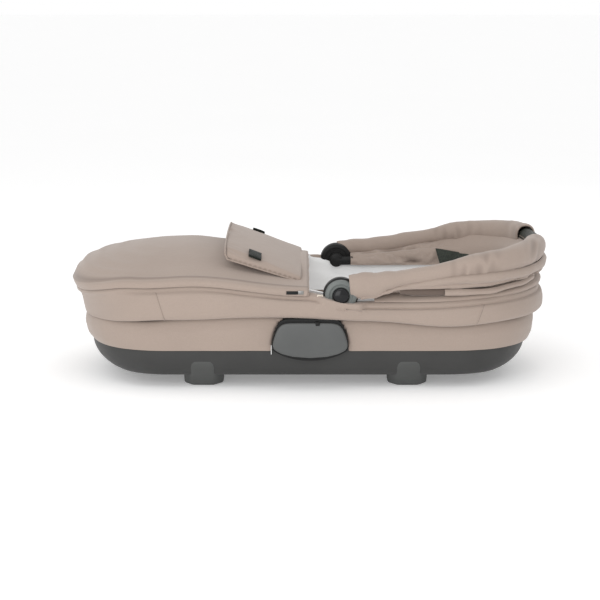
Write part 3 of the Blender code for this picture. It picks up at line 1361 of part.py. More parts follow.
def make_stay(end_name, end, pivot_x):
    """One wire hoop, laid over the mattress, and the two blocks that it turns in."""
    eye_out = STAY_OUT + STAY_EYE_LENGTH
    toward = -end
    far_x = pivot_x + toward * STAY_REACH
    half = [(pivot_x, eye_out), (pivot_x, STAY_OUT + STAY_RADIUS)]
    half.append((pivot_x + toward * STAY_RADIUS, STAY_OUT))
    for step in range(STAY_CORNER_STEPS + 1):
        angle = math.pi / 2 * step / STAY_CORNER_STEPS
        x = far_x - toward * STAY_CORNER * (1 - math.sin(angle))
        y = STAY_OUT - STAY_CORNER * (1 - math.cos(angle))
        half.append((x, y))
    line = [Vector((x, y, STAY_HEIGHT)) for x, y in half]
    line += [Vector((x, -y, STAY_HEIGHT)) for x, y in reversed(half)]
    tube(f"stay_{end_name}", line, STAY_RADIUS, "steel", resolution=1)
    hang(f"stay_{end_name}_pivot", (pivot_x, 0, STAY_HEIGHT))
    for side_name, side in SIDES:
        inner = STAY_OUT + STAY_RADIUS + STAY_BLOCK_GAP * 2
        reach = STAY_RADIUS + STAY_BLOCK_FLOOR
        low = Vector((pivot_x - STAY_BLOCK_LENGTH / 2, inner, STAY_HEIGHT - reach))
        high = Vector((pivot_x + STAY_BLOCK_LENGTH / 2, RIM_HALF_WIDTH, STAY_HEIGHT + reach))
        block = make_mirrored_box(f"stay_block_{end_name}_{side_name}", low, high, side, "black_plastic")
        boolean(block, TUB_INSIDE, "INTERSECT")
        start = mirrored((pivot_x, STAY_OUT, STAY_HEIGHT), side)
        end_point = mirrored((pivot_x, RIM_HALF_WIDTH + CUT_OVERRUN, STAY_HEIGHT), side)
        bore = cylinder(
            f"stay_bore_{end_name}_{side_name}",
            start,
            end_point,
            STAY_RADIUS + STAY_BLOCK_GAP,
            collection=CUTTERS,
            segments=16,
        )
        boolean(block, bore)


def inside_of_tub():
    """The space inside the tub's flange and the folded walls, for shaping what is fixed there."""
    rows = []
    for z in (MATTRESS_TOP - CUT_OVERRUN, FLANGE_TOP + CUT_OVERRUN):
        ring = []
        for station in STATIONS:
            ring.append(station.at(flange_out(station) - TUB_WALL - SEAT_GAP, z))
        rows.append(ring)
    return loft("tub_inside", rows, None, cap_first=True, cap_last=True, collection=CUTTERS)


TUB_SPACE = tub_clearance("tub_space", SEAT_GAP, TUB_EDGE_HEIGHT)
TUB_INSIDE = inside_of_tub()
RIM_SPACE = rim_loop("rim_space", RIM_TUBE_RADIUS + SEAT_GAP, CUTTERS)


def hang(name, place, parent=None):
    """Makes the empty that a moving body turns or slides about, carried by its parent body's empty."""
    pivot = bpy.data.objects.new(name, None)
    pivot.location = place
    PARTS.objects.link(pivot)
    if parent:
        attach(pivot, bpy.data.objects[parent])
    return pivot


def attach(obj, pivot):
    """Parents an object to a pivot without moving it."""
    bpy.context.view_layer.update()
    placed = obj.matrix_world.copy()
    obj.parent = pivot
    obj.matrix_parent_inverse = pivot.matrix_world.inverted()
    obj.matrix_world = placed


def hang_bodies():
    """Parents the pieces of each moving body to the empty on its joint."""
    for pivot_name, prefixes in BODY_PIECES.items():
        pivot = bpy.data.objects[pivot_name]
        for obj in list(PARTS.objects):
            if obj.type != "EMPTY" and obj.parent is None and obj.name.startswith(prefixes):
                attach(obj, pivot)


def main():
    """Builds every piece of the cot."""
    hang("rim_frame", (0, 0, RIM_LOW_HEIGHT))
    hang("hood_rear_pivot", (HUB_X, 0, HUB_Z), "rim_frame")
    hang("hood_front_pivot", (HUB_X, 0, HUB_Z), "hood_rear_pivot")
    hang("flap_pivot", (FLAP_ROOT_X, 0, FLAP_HINGE_HEIGHT), "rim_frame")
    make_tub()
    make_feet()
    make_board()
    make_mattress()
    make_rim()
    make_apron()
    make_flap()
    make_zip_ends()
    for name, side in SIDES:
        make_hub(name, side)
        make_bracket(name, side)
    make_handle()
    make_rear_bow()
    make_gores()
    make_stay("foot", -1, STAY_FOOT_X)
    make_stay("head", 1, STAY_HEAD_X)
    hang_bodies()


main()
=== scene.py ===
"""Visual model of a pram carrycot, folded flat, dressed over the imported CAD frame."""

import json
import logging
import math
from contextlib import contextmanager
from dataclasses import dataclass, field
from enum import Enum
from typing import Callable, Iterator, Optional, Sequence

import bpy
import numpy as np
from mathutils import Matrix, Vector, noise


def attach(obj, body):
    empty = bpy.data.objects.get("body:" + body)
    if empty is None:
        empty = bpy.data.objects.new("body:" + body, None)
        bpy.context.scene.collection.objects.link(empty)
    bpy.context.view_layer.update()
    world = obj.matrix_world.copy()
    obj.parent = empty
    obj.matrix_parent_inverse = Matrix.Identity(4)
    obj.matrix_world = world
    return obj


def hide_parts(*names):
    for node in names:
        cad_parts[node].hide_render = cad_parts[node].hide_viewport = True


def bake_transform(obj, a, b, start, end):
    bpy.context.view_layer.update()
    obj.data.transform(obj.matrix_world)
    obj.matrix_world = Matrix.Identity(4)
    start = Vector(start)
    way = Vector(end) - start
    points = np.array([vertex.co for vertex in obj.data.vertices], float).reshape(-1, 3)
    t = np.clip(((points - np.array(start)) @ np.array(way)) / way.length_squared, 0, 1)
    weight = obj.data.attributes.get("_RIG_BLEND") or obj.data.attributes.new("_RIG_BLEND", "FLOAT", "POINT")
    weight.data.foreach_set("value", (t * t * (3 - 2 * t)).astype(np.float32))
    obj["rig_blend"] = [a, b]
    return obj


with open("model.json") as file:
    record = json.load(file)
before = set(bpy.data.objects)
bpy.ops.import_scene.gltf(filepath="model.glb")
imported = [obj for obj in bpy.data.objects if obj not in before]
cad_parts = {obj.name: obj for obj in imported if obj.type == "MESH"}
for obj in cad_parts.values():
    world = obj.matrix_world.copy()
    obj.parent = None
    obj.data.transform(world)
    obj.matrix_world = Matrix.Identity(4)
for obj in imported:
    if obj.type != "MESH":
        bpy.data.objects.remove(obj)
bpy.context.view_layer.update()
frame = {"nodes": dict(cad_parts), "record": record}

Piece = bpy.types.Object
Material = bpy.types.Material
LOG = logging.getLogger("carrycot")


class Body(str, Enum):
    """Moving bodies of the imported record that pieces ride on."""

    BASE = "base"
    RIM = "rim_frame"
    FLAP = "wind_flap"
    REAR = "hood_rear"
    FRONT = "hood_front"


class Slot(str, Enum):
    """Material slots of the record."""

    TAUPE = "taupe_cloth"
    WHITE = "white_cloth"
    BLACK = "black_plastic"
    TUB = "tub_plastic"
    GREY = "grey_plastic"
    GLOSS = "gloss_black"
    COVER = "handle_cover"
    STEEL = "steel"
    ALUMINIUM = "aluminium"
    BOARD = "board"


class Value:
    """One socket of a node tree, with operators that add the maths nodes behind it."""

    def __init__(self, graph: "Graph", socket: bpy.types.NodeSocket) -> None:
        self.graph = graph
        self.socket = socket

    def _math(self, operation: str, first: object, second: object = 0.0) -> "Value":
        """Adds one Math node.

        Args:
            operation: Blender's name of the operation.
            first: The first input, a Value or a number.
            second: The second input.

        Returns:
            The node's result.
        """
        return self.graph.node("ShaderNodeMath", {"operation": operation}, {0: first, 1: second})

    def __add__(self, other: object) -> "Value":
        return self._math("ADD", self, other)

    def __radd__(self, other: object) -> "Value":
        return self._math("ADD", other, self)

    def __sub__(self, other: object) -> "Value":
        return self._math("SUBTRACT", self, other)

    def __rsub__(self, other: object) -> "Value":
        return self._math("SUBTRACT", other, self)

    def __mul__(self, other: object) -> "Value":
        return self._math("MULTIPLY", self, other)

    def __rmul__(self, other: object) -> "Value":
        return self._math("MULTIPLY", other, self)

    def __truediv__(self, other: object) -> "Value":
        return self._math("DIVIDE", self, other)

    def __rtruediv__(self, other: object) -> "Value":
        return self._math("DIVIDE", other, self)

    def __pow__(self, other: object) -> "Value":
        return self._math("POWER", self, other)

    def call(self, operation: str, other: object = 0.0) -> "Value":
        """Any other Math operation on this value, such as SINE or MINIMUM."""
        return self._math(operation, self, other)


def tinted(colour: Sequence[float], factor: float = 1.0, added: float = 0.0) -> tuple[float, ...]:
    """A colour made darker or paler, with its alpha."""
    return (*(min(1.0, c * factor + added) for c in colour), 1.0)


class Graph:
    """The node tree of one material."""

    def __init__(self, name: str) -> None:
        self.material = bpy.data.materials.new(name)
        self.material.use_nodes = True
        self.tree = self.material.node_tree
        self.tree.nodes.clear()

    def node(self, kind: str, settings: dict, sockets: dict, output: object = 0) -> Value:
        """Adds one node of any type.

        Args:
            kind: The node's type.
            settings: Attributes to set on the node.
            sockets: Inputs by name or number; each is a Value or a constant.
            output: Which output to return, by name or number.

        Returns:
            The chosen output.
        """
        made = self.tree.nodes.new(kind)
        for key, value in settings.items():
            setattr(made, key, value)
        for key, value in sockets.items():
            if isinstance(value, Value):
                self.tree.links.new(value.socket, made.inputs[key])
            else:
                made.inputs[key].default_value = value
        return Value(self, made.outputs[output])

    def place(self) -> Value:
        """Object coordinates."""
        return self.node("ShaderNodeTexCoord", {}, {}, "Object")

    def attribute(self, name: str) -> Value:
        """A mesh attribute's factor."""
        return self.node("ShaderNodeAttribute", {"attribute_name": name}, {}, "Fac")

    def uv(self) -> Value:
        """The piece's own UV map."""
        return self.node("ShaderNodeUVMap", {"uv_map": "UVMap"}, {}, "UV")

    def scaled(self, vector: Value, scale: Sequence[float]) -> Value:
        """A vector multiplied by a constant vector."""
        return self.node("ShaderNodeVectorMath", {"operation": "MULTIPLY"}, {0: vector, 1: tuple(scale)})

    def noise(self, vector: Value, scale: float, detail: float = 2.0, roughness: float = 0.5) -> Value:
        """Fractal noise from 0 to 1."""
        sockets = {"Vector": vector, "Scale": scale, "Detail": detail, "Roughness": roughness}
        return self.node("ShaderNodeTexNoise", {}, sockets, "Fac")

    def blend(self, factor: object, first: object, second: object) -> Value:
        """Mixes two colours by a factor."""
        settings = {"data_type": "RGBA", "clamp_factor": True}
        return self.node("ShaderNodeMix", settings, {"Factor": factor, 6: first, 7: second}, 2)

    def bump(self, height: Value, distance: float, strength: float = 1.0, below: object = None) -> Value:
        """A bumped normal from a height in units of distance, in metres."""
        sockets: dict = {"Height": height, "Distance": distance, "Strength": strength}
        if below is not None:
            sockets["Normal"] = below
        return self.node("ShaderNodeBump", {}, sockets)

    def finish(self, sockets: dict) -> Material:
        """Adds the Principled shader and the output, and returns the material."""
        shader = self.node("ShaderNodeBsdfPrincipled", {}, sockets)
        made = self.tree.nodes.new("ShaderNodeOutputMaterial")
        self.tree.links.new(shader.socket, made.inputs["Surface"])
        return self.material


@dataclass(frozen=True)
class ClothFinish:
    """Woven cloth: two threads, slubs, soft wear and a little sheen.

    Attributes:
        name: The material's name.
        colour: Linear colour of the lit cloth.
        slub: How strongly single threads differ in tone.
        thread: Threads to a metre.
        sheen: Sheen weight.
        relief: Height of the weave in metres.
        glow: Strength of its own colour's light, painted light that lifts white cloth where it lies in shade.
    """

    name: str
    colour: tuple[float, float, float]
    slub: float = 0.16
    thread: float = 1500.0
    sheen: float = 0.25
    relief: float = 0.00012
    glow: float = 0.0

    def make(self) -> Material:
        """Builds the material."""
        g = Graph(self.name)
        place = g.place()
        along = g.noise(g.scaled(place, (0.16, 0.5, 1.0)), self.thread, 2.0, 0.7)
        across = g.noise(g.scaled(place, (1.0, 0.6, 0.14)), self.thread, 2.0, 0.7)
        broad = g.noise(place, 9.0, 3.0)
        weave = along * 0.55 + across * 0.45
        tone = 1.0 + (weave - 0.5) * (self.slub * 2) + (broad - 0.5) * 0.10
        colour = g.blend((tone - 0.45) / 1.1, tinted(self.colour, 0.45), tinted(self.colour, 1.55))
        # Painted shade: the crease attribute blends the cloth towards a dark copy of its colour where creases
        # lie in shade.
        crease = g.attribute("crease")
        red, green, blue, alpha = tinted(self.colour, 0.30)
        colour = g.blend(crease, colour, (red, green * 0.9, blue * 0.85, alpha))
        wrinkle = g.bump(g.noise(place, 26.0, 3.0, 0.55), 0.0016, 0.5)
        normal = g.bump(weave, self.relief, 0.9, wrinkle)
        rough = 0.82 + (weave - 0.5) * 0.2
        return g.finish(
            {
                "Base Color": colour,
                "Roughness": rough,
                "Normal": normal,
                "Sheen Weight": self.sheen,
                "Sheen Roughness": 0.5,
                "Emission Color": colour,
                "Emission Strength": self.glow,
            }
        )


@dataclass(frozen=True)
class PlasticFinish:
    """Moulded plastic with a grain, mottled gloss and a tone that is paler and darker in random patches.

    Attributes:
        name: The material's name.
        colour: Linear base colour.
        roughness: Mean roughness.
        grain: Height of the grain in metres.
        coat: Coat weight, for gloss parts.
        specular: Strength of the plain reflection.
    """

    name: str
    colour: tuple[float, float, float]
    roughness: float = 0.45
    grain: float = 0.00008
    coat: float = 0.0
    specular: float = 0.3

    def make(self) -> Material:
        """Builds the material."""
        g = Graph(self.name)
        place = g.place()
        grain = g.noise(place, 1400.0, 2.0, 0.6)
        broad = g.noise(place, 14.0, 3.0)
        scuff = g.noise(g.scaled(place, (1.0, 1.0, 3.0)), 60.0, 4.0, 0.7)
        pale = tinted(self.colour, 1.35, 0.004)
        colour = g.blend(broad * 0.7 + grain * 0.3, tinted(self.colour, 0.82), pale)
        rough = self.roughness + (scuff - 0.5) * 0.18
        normal = g.bump(grain, self.grain, 0.8)
        return g.finish(
            {
                "Base Color": colour,
                "Roughness": rough,
                "Normal": normal,
                "Coat Weight": self.coat,
                "Coat Roughness": 0.06,
                "Specular IOR Level": self.specular,
            }
        )


@dataclass(frozen=True)
class MetalFinish:
    """Brushed or drawn metal."""

    name: str
    colour: tuple[float, float, float]
    roughness: float = 0.3

    def make(self) -> Material:
        """Builds the material."""
        g = Graph(self.name)
        place = g.place()
        line = g.noise(g.scaled(place, (0.1, 1.0, 1.0)), 900.0, 2.0)
        spot = g.noise(place, 40.0, 3.0)
        colour = g.blend(spot, tinted(self.colour, 0.8), tinted(self.colour))
        rough = self.roughness + (line - 0.5) * 0.2
        return g.finish(
            {"Base Color": colour, "Roughness": rough, "Metallic": 1.0, "Normal": g.bump(line, 0.00004, 0.6)}
        )


@dataclass(frozen=True)
class CoverFinish:
    """Leatherette with pebbled grain."""

    name: str
    colour: tuple[float, float, float]

    def make(self) -> Material:
        """Builds the material."""
        g = Graph(self.name)
        place = g.place()
        cells = g.node(
            "ShaderNodeTexVoronoi", {"feature": "DISTANCE_TO_EDGE"}, {"Vector": place, "Scale": 620.0}
        )
        broad = g.noise(place, 30.0, 3.0)
        colour = g.blend(cells * 3.0 + broad * 0.3, tinted(self.colour, 0.5), tinted(self.colour))
        normal = g.bump(cells.call("MINIMUM", 0.2), 0.0009, 0.7)
        return g.finish(
            {
                "Base Color": colour,
                "Roughness": 0.42 + broad * 0.15,
                "Normal": normal,
                "Specular IOR Level": 0.14,
            }
        )


@dataclass(frozen=True)
class MeshFinish:
    """Open-knit window mesh: dark yarn with small holes that the shade shows through."""

    name: str
    colour: tuple[float, float, float]
    pitch: float = 0.0016

    def make(self) -> Material:
        """Builds the material."""
        g = Graph(self.name)
        place = g.place()
        cells = g.node("ShaderNodeTexVoronoi", {"feature": "F1"}, {"Vector": place, "Scale": 1 / self.pitch})
        yarn = (cells - 0.28) * 4.0
        colour = g.blend(yarn, (0.004, 0.004, 0.004, 1.0), tinted(self.colour, 2.6))
        return g.finish(
            {"Base Color": colour, "Roughness": 0.7 + cells * 0.2, "Normal": g.bump(yarn, 0.0003, 0.6)}
        )


@dataclass(frozen=True)
class ThreadFinish:
    """Sewing thread or tape, ribbed along its own run."""

    name: str
    colour: tuple[float, float, float]
    pitch: float = 0.003
    depth: float = 0.35

    def make(self) -> Material:
        """Builds the material."""
        g = Graph(self.name)
        across = g.node("ShaderNodeSeparateXYZ", {}, {0: g.uv()}, "X")
        wave = (across * (2 * math.pi / self.pitch)).call("SINE") * 0.5 + 0.5
        colour = g.blend(wave, tinted(self.colour, self.depth), tinted(self.colour))
        return g.finish(
            {"Base Color": colour, "Roughness": 0.7 + wave * 0.2, "Normal": g.bump(wave, 0.0004, 0.8)}
        )


@dataclass(frozen=True)
class BoardFinish:
    """Pressed board with fibres."""

    name: str
    colour: tuple[float, float, float]

    def make(self) -> Material:
        """Builds the material."""
        g = Graph(self.name)
        place = g.place()
        fibre = g.noise(g.scaled(place, (0.3, 1.0, 1.0)), 300.0, 4.0, 0.7)
        colour = g.blend(fibre, tinted(self.colour, 0.6), tinted(self.colour))
        return g.finish(
            {"Base Color": colour, "Roughness": 0.75 + fibre * 0.2, "Normal": g.bump(fibre, 0.0002, 0.7)}
        )


TAUPE = (0.365, 0.290, 0.245)


def made_by(recipe: object) -> Material:
    """A dataclass field that holds what the recipe makes."""
    return field(default_factory=recipe.make)


@dataclass
class Finishes:
    """All the materials of the cot, made once."""

    taupe: Material = made_by(ClothFinish("taupe cloth", TAUPE))
    # A darker copy of the taupe: painted shade for cloth that lies in shade.
    shaded_taupe: Material = made_by(ClothFinish("shaded taupe cloth", tinted(TAUPE, 0.72)[:3]))
    # The white cloth glows a little: painted light that lifts it where it lies in shade.
    white: Material = made_by(ClothFinish("white cotton", (0.84, 0.84, 0.83), 0.05, 1800.0, 0.15, glow=0.26))
    tub: Material = made_by(PlasticFinish("tub plastic", (0.040, 0.040, 0.039), 0.5))
    feet: Material = made_by(PlasticFinish("foot plastic", (0.066, 0.068, 0.066), 0.55))
    grey: Material = made_by(PlasticFinish("grey plastic", (0.088, 0.091, 0.090), 0.38))
    satin: Material = made_by(PlasticFinish("satin disc", (0.125, 0.135, 0.130), 0.30))
    black: Material = made_by(PlasticFinish("black plastic", (0.010, 0.010, 0.010), 0.42, specular=0.18))
    gloss: Material = made_by(PlasticFinish("gloss black", (0.004, 0.004, 0.005), 0.12, 0.00001, 0.0, 0.30))
    cover: Material = made_by(CoverFinish("stitched cover", (0.030, 0.034, 0.026)))
    tab: Material = made_by(CoverFinish("soft tab", (0.013, 0.016, 0.013)))
    mesh: Material = made_by(MeshFinish("window mesh", (0.014, 0.017, 0.013)))
    steel: Material = made_by(MetalFinish("steel", (0.62, 0.61, 0.59), 0.28))
    aluminium: Material = made_by(MetalFinish("aluminium", (0.70, 0.70, 0.69), 0.34))
    board: Material = made_by(BoardFinish("pressed board", (0.30, 0.21, 0.13)))
    stitch: Material = made_by(ThreadFinish("taupe thread", tinted(TAUPE, 1.05)[:3], 0.003))
    zip: Material = made_by(ThreadFinish("zip coil", tinted(TAUPE, 0.62)[:3], 0.0022, 0.3))
    zinc: Material = made_by(MetalFinish("cast zinc", (0.30, 0.295, 0.285), 0.36))
    cream: Material = made_by(PlasticFinish("cream nylon", (0.62, 0.55, 0.47), 0.5))

    def for_slot(self, slot: str) -> Material:
        """The material for a record slot."""
        return {
            Slot.TAUPE: self.taupe,
            Slot.WHITE: self.white,
            Slot.BLACK: self.black,
            Slot.TUB: self.tub,
            Slot.GREY: self.grey,
            Slot.GLOSS: self.gloss,
            Slot.COVER: self.cover,
            Slot.STEEL: self.steel,
            Slot.ALUMINIUM: self.aluminium,
            Slot.BOARD: self.board,
        }[Slot(slot)]


@dataclass(frozen=True)
class View:
    """The photograph's camera.

    Attributes:
        target: The point looked at, in metres.
        distance: From the camera to the target.
        elevation: Angle above the horizon, in degrees.
        lens: Focal length on the 36 mm sensor, in millimetres.
    """

    target: tuple[float, float, float] = (-0.0175, 0.0, 0.122)
    distance: float = 3.2
    elevation: float = 10.5
    lens: float = 104.6

    def make(self) -> None:
        """Creates the camera and makes it the scene's."""
        data = bpy.data.cameras.new("photo camera")
        data.sensor_width = 36.0
        data.lens = self.lens
        data.clip_start = 0.1
        camera = bpy.data.objects.new("photo camera", data)
        angle = math.radians(self.elevation)
        back = Vector((0.0, -math.cos(angle), math.sin(angle)))
        camera.location = Vector(self.target) + back * self.distance
        camera.rotation_euler = (-back).to_track_quat("-Z", "Y").to_euler()
        bpy.context.scene.collection.objects.link(camera)
        bpy.context.scene.camera = camera


@dataclass(frozen=True)
class Lamp:
    """One soft area light, aimed at the cot."""

    name: str
    place: tuple[float, float, float]
    size: float
    power: float

    def make(self) -> None:
        """Creates the light."""
        data = bpy.data.lights.new(self.name, "AREA")
        data.size = self.size
        data.energy = self.power
        light = bpy.data.objects.new(self.name, data)
        light.location = self.place
        aim = Vector((0.0, 0.0, 0.12)) - Vector(self.place)
        light.rotation_euler = aim.to_track_quat("-Z", "Y").to_euler()
        bpy.context.scene.collection.objects.link(light)


class Studio:
    """Pale floor, white backdrop and soft light."""

    floor_side = 60.0
    ambient = 0.74
    lamps = (
        Lamp("overhead", (-0.25, -0.75, 2.1), 1.7, 6.0),
        Lamp("front", (-0.9, -2.6, 0.8), 1.8, 24.0),
        Lamp("back", (0.9, 1.9, 1.5), 1.4, 3.0),
    )

    def make(self) -> None:
        """Makes the room."""
        bpy.context.scene.view_settings.view_transform = "Standard"
        bpy.ops.mesh.primitive_plane_add(size=self.floor_side)
        floor = bpy.context.object
        floor.name = "floor"
        g = Graph("pale floor")
        cloud = g.noise(g.place(), 1.5, 2.0)
        tone = g.blend(cloud, (0.96, 0.96, 0.96, 1.0), (0.98, 0.98, 0.98, 1.0))
        floor.data.materials.append(
            g.finish(
                {"Base Color": tone, "Roughness": 0.9, "Emission Color": tone, "Emission Strength": 0.24}
            )
        )
        for lamp in self.lamps:
            lamp.make()
        self._world()

    def _world(self) -> None:
        """White where the camera sees it, softer where it lights."""
        world = bpy.data.worlds.new("studio")
        world.use_nodes = True
        bpy.context.scene.world = world
        tree = world.node_tree
        tree.nodes.clear()
        path = tree.nodes.new("ShaderNodeLightPath")
        seen = path.outputs["Is Camera Ray"]
        for name in ("Is Glossy Ray", "Is Transmission Ray"):
            total = tree.nodes.new("ShaderNodeMath")
            total.operation = "ADD"
            total.use_clamp = True
            tree.links.new(seen, total.inputs[0])
            tree.links.new(path.outputs[name], total.inputs[1])
            seen = total.outputs[0]
        mix = tree.nodes.new("ShaderNodeMixShader")
        tree.links.new(seen, mix.inputs["Fac"])
        for number, strength in ((1, self.ambient), (2, 1.0)):
            light = tree.nodes.new("ShaderNodeBackground")
            light.inputs["Color"].default_value = (1.0, 1.0, 1.0, 1.0)
            light.inputs["Strength"].default_value = strength
            tree.links.new(light.outputs[0], mix.inputs[number])
        out = tree.nodes.new("ShaderNodeOutputWorld")
        tree.links.new(mix.outputs[0], out.inputs["Surface"])


def ease(share: np.ndarray) -> np.ndarray:
    """A smooth step from 0 to 1."""
    share = np.clip(share, 0.0, 1.0)
    return share * share * (3 - 2 * share)


def along(table: Sequence[tuple[float, float]], place: np.ndarray) -> np.ndarray:
    """Reads a table of (place, value), eased between its entries."""
    place = np.asarray(place, float)
    found = np.full(place.shape, table[0][1], float)
    for (start, low), (end, high) in zip(table, table[1:]):
        found = np.where(place >= start, low + (high - low) * ease((place - start) / (end - start)), found)
    return found


def spline(keys: Sequence[np.ndarray], places: Sequence[float], wanted: np.ndarray) -> np.ndarray:
    """Runs a smooth curve through arrays of points.

    Args:
        keys: Arrays of one shape, the points passed through.
        places: The parameter at each key, rising.
        wanted: The parameters to read.

    Returns:
        The points at the wanted parameters, with the parameter as first axis.
    """
    keys = np.asarray(keys, float)
    places = np.asarray(places, float)
    slopes = np.gradient(keys, places, axis=0)
    index = np.clip(np.searchsorted(places, wanted, side="right") - 1, 0, len(places) - 2)
    span = (places[index + 1] - places[index]).reshape(-1, *[1] * (keys.ndim - 1))
    t = ((wanted - places[index]) / (places[index + 1] - places[index])).reshape(span.shape)
    a, b = keys[index], keys[index + 1]
    first = (2 * t**3 - 3 * t**2 + 1) * a + (t**3 - 2 * t**2 + t) * span * slopes[index]
    return first + (-2 * t**3 + 3 * t**2) * b + (t**3 - t**2) * span * slopes[index + 1]


def run_of(line: np.ndarray) -> np.ndarray:
    """The distance run along a line at each of its points."""
    return np.concatenate([[0.0], np.cumsum(np.linalg.norm(np.diff(line, axis=0), axis=1))])


def evenly(line: np.ndarray, count: int, endpoint: bool = True) -> np.ndarray:
    """Points spread evenly along a line, with or without its last one."""
    run = run_of(line)
    wanted = np.linspace(0.0, run[-1], count, endpoint=endpoint)
    return np.stack([np.interp(wanted, run, axis) for axis in line.T], axis=1)


def unit(vectors: np.ndarray) -> np.ndarray:
    """The vectors of the last axis, each at length 1."""
    return vectors / np.maximum(np.linalg.norm(vectors, axis=-1, keepdims=True), 1e-12)


def quarter(length: float, width: float, power: float, count: int) -> np.ndarray:
    """A quarter of a superellipse, from its tip round to its side."""
    angle = np.linspace(0.0, math.pi / 2, count)
    return np.stack([length * np.cos(angle) ** (2 / power), width * np.sin(angle) ** (2 / power)], axis=1)


def rumple(points: np.ndarray, scale: Sequence[float], seed: float, ridged: bool = False) -> np.ndarray:
    """Smooth noise at each point, from -1 to 1, or sharp-crested from 0 to 1.

    Args:
        points: Points with the coordinates in the last axis.
        scale: Waves to a metre along X, Y and Z.
        seed: Moves the pattern.
        ridged: Whether the noise is turned into crests.

    Returns:
        One number a point.
    """
    flat = (points.reshape(-1, 3) * np.asarray(scale)) + seed
    found = np.array([noise.noise(Vector(place)) for place in flat]).reshape(points.shape[:-1])
    return 1 - np.abs(found) * 2 if ridged else found


@dataclass(frozen=True)
class Rim:
    """Plan outline and heights of the rim, the same as the CAD model's."""

    half_width: float = 0.195
    foot_x: float = -0.4155
    head_x: float = 0.405
    foot_length: float = 0.167
    head_length: float = 0.175
    foot_power: float = 2.2
    head_power: float = 2.4
    low: float = 0.147
    rise: float = 0.0315
    fold_low: float = 0.1135
    fold_rise: float = 0.0165
    hem: float = 0.0093
    rise_shares: tuple = (
        (0.0, 0.30), (0.14, 0.90), (0.26, 1.03), (0.49, 0.50), (0.60, 0.0), (0.70, 0.0), (1.0, 0.36)
    )
    fold_shares: tuple = (
        (0.0, 0.0), (0.22, 0.80), (0.42, 1.05), (0.62, 0.68), (0.80, 0.05), (0.93, 0.5), (1.0, 0.5)
    )

    def share(self, x: np.ndarray) -> np.ndarray:
        """How far x lies from the foot end to the head end."""
        return np.clip((x - self.foot_x) / (self.head_x - self.foot_x), 0.0, 1.0)

    def height(self, x: np.ndarray) -> np.ndarray:
        """Height of the rim tube."""
        return self.low + self.rise * along(self.rise_shares, self.share(x))

    def fold(self, x: np.ndarray) -> np.ndarray:
        """Height of the crease under the upper band."""
        return self.fold_low + self.fold_rise * along(self.fold_shares, self.share(x))

    def outline(self, count: int) -> tuple[np.ndarray, np.ndarray, np.ndarray]:
        """Evenly spaced places round the rim, from the head end over the far side.

        Returns:
            The places, the outward normals and the distance run, one row each.
        """
        count_quarter = 240
        head_place = (self.head_x - self.head_length, 0.0)
        foot_place = (self.foot_x + self.foot_length, 0.0)
        head = head_place + quarter(self.head_length, self.half_width, self.head_power, count_quarter)
        foot = foot_place + quarter(-self.foot_length, self.half_width, self.foot_power, count_quarter)[::-1]
        half = np.concatenate([head, foot])
        mirror = half[::-1] * (1, -1)
        line = np.concatenate([half, mirror[1:]])
        run = run_of(line)
        keep = np.concatenate([[True], np.diff(run) > 1e-9])
        wanted = run[-1] * np.arange(count) / count
        place = np.stack([np.interp(wanted, run[keep], line[keep, axis]) for axis in (0, 1)], axis=1)
        step = np.roll(place, -1, axis=0) - np.roll(place, 1, axis=0)
        normal = np.stack([step[:, 1], -step[:, 0]], axis=1)
        return place, unit(normal), wanted

    def mix(self, normal: np.ndarray, side: float, foot: float, head: float) -> np.ndarray:
        """A size that differs between the sides and the two ends."""
        end = np.where(normal[:, 0] < 0, foot, head)
        return side * normal[:, 1] ** 2 + end * normal[:, 0] ** 2


RIM = Rim()


class Sheet:
    """A cloth surface as a grid of points: rows across it, columns along it."""

    def __init__(self, points: np.ndarray, ring: bool = False) -> None:
        self.points = points
        self.ring = ring

    def normals(self) -> np.ndarray:
        """The grid's normals, on the side that its faces show."""
        down = np.gradient(self.points, axis=0)
        if self.ring:
            across = (np.roll(self.points, -1, axis=1) - np.roll(self.points, 1, axis=1)) / 2
        else:
            across = np.gradient(self.points, axis=1)
        return unit(np.cross(down, across))

    def push(self, amount: np.ndarray) -> "Sheet":
        """Moves each point along its normal."""
        return Sheet(self.points + self.normals() * np.asarray(amount)[..., None], self.ring)

    def area(self) -> float:
        """The sheet's area in square metres."""
        p = np.concatenate([self.points, self.points[:, :1]], axis=1) if self.ring else self.points
        a, b, c, d = p[:-1, :-1], p[:-1, 1:], p[1:, 1:], p[1:, :-1]
        return float(
            (
                np.linalg.norm(np.cross(b - a, c - a), axis=2) + np.linalg.norm(
                    np.cross(c - a, d - a), axis=2
                )
            ).sum() / 2
        )

    def build(self, name: str, material: Material, thickness: float = 0.0) -> Piece:
        """Makes the mesh object, with its UV in metres.

        Args:
            name: The piece's name.
            material: Its finish.
            thickness: The cloth's thickness, inwards from the grid; 0 leaves a closed tube as it is.

        Returns:
            The piece.
        """
        rows, columns = self.points.shape[:2]
        wrap = columns if self.ring else columns - 1
        index = np.arange(rows * columns).reshape(rows, columns)
        faces = []
        for c in range(wrap):
            d = (c + 1) % columns
            for r in range(rows - 1):
                faces.append((index[r, c], index[r + 1, c], index[r + 1, d], index[r, d]))
        mesh = bpy.data.meshes.new(name)
        mesh.from_pydata(self.points.reshape(-1, 3).tolist(), [], [tuple(int(i) for i in f) for f in faces])
        spans = np.linalg.norm(np.diff(self.points, axis=1), axis=2).mean(axis=0)
        falls = np.linalg.norm(np.diff(self.points, axis=0), axis=2).mean(axis=1)
        u = np.concatenate([[0.0], np.cumsum(spans)])
        v = np.concatenate([[0.0], np.cumsum(falls)])
        layer = mesh.uv_layers.new(name="UVMap")
        data = []
        for c in range(wrap):
            far = u[c + 1] if c + 1 < columns else u[c] + spans.mean()
            for r in range(rows - 1):
                data += [u[c], v[r], u[c], v[r + 1], far, v[r + 1], far, v[r]]
        layer.data.foreach_set("uv", data)
        return finish_piece(mesh, name, material, thickness)


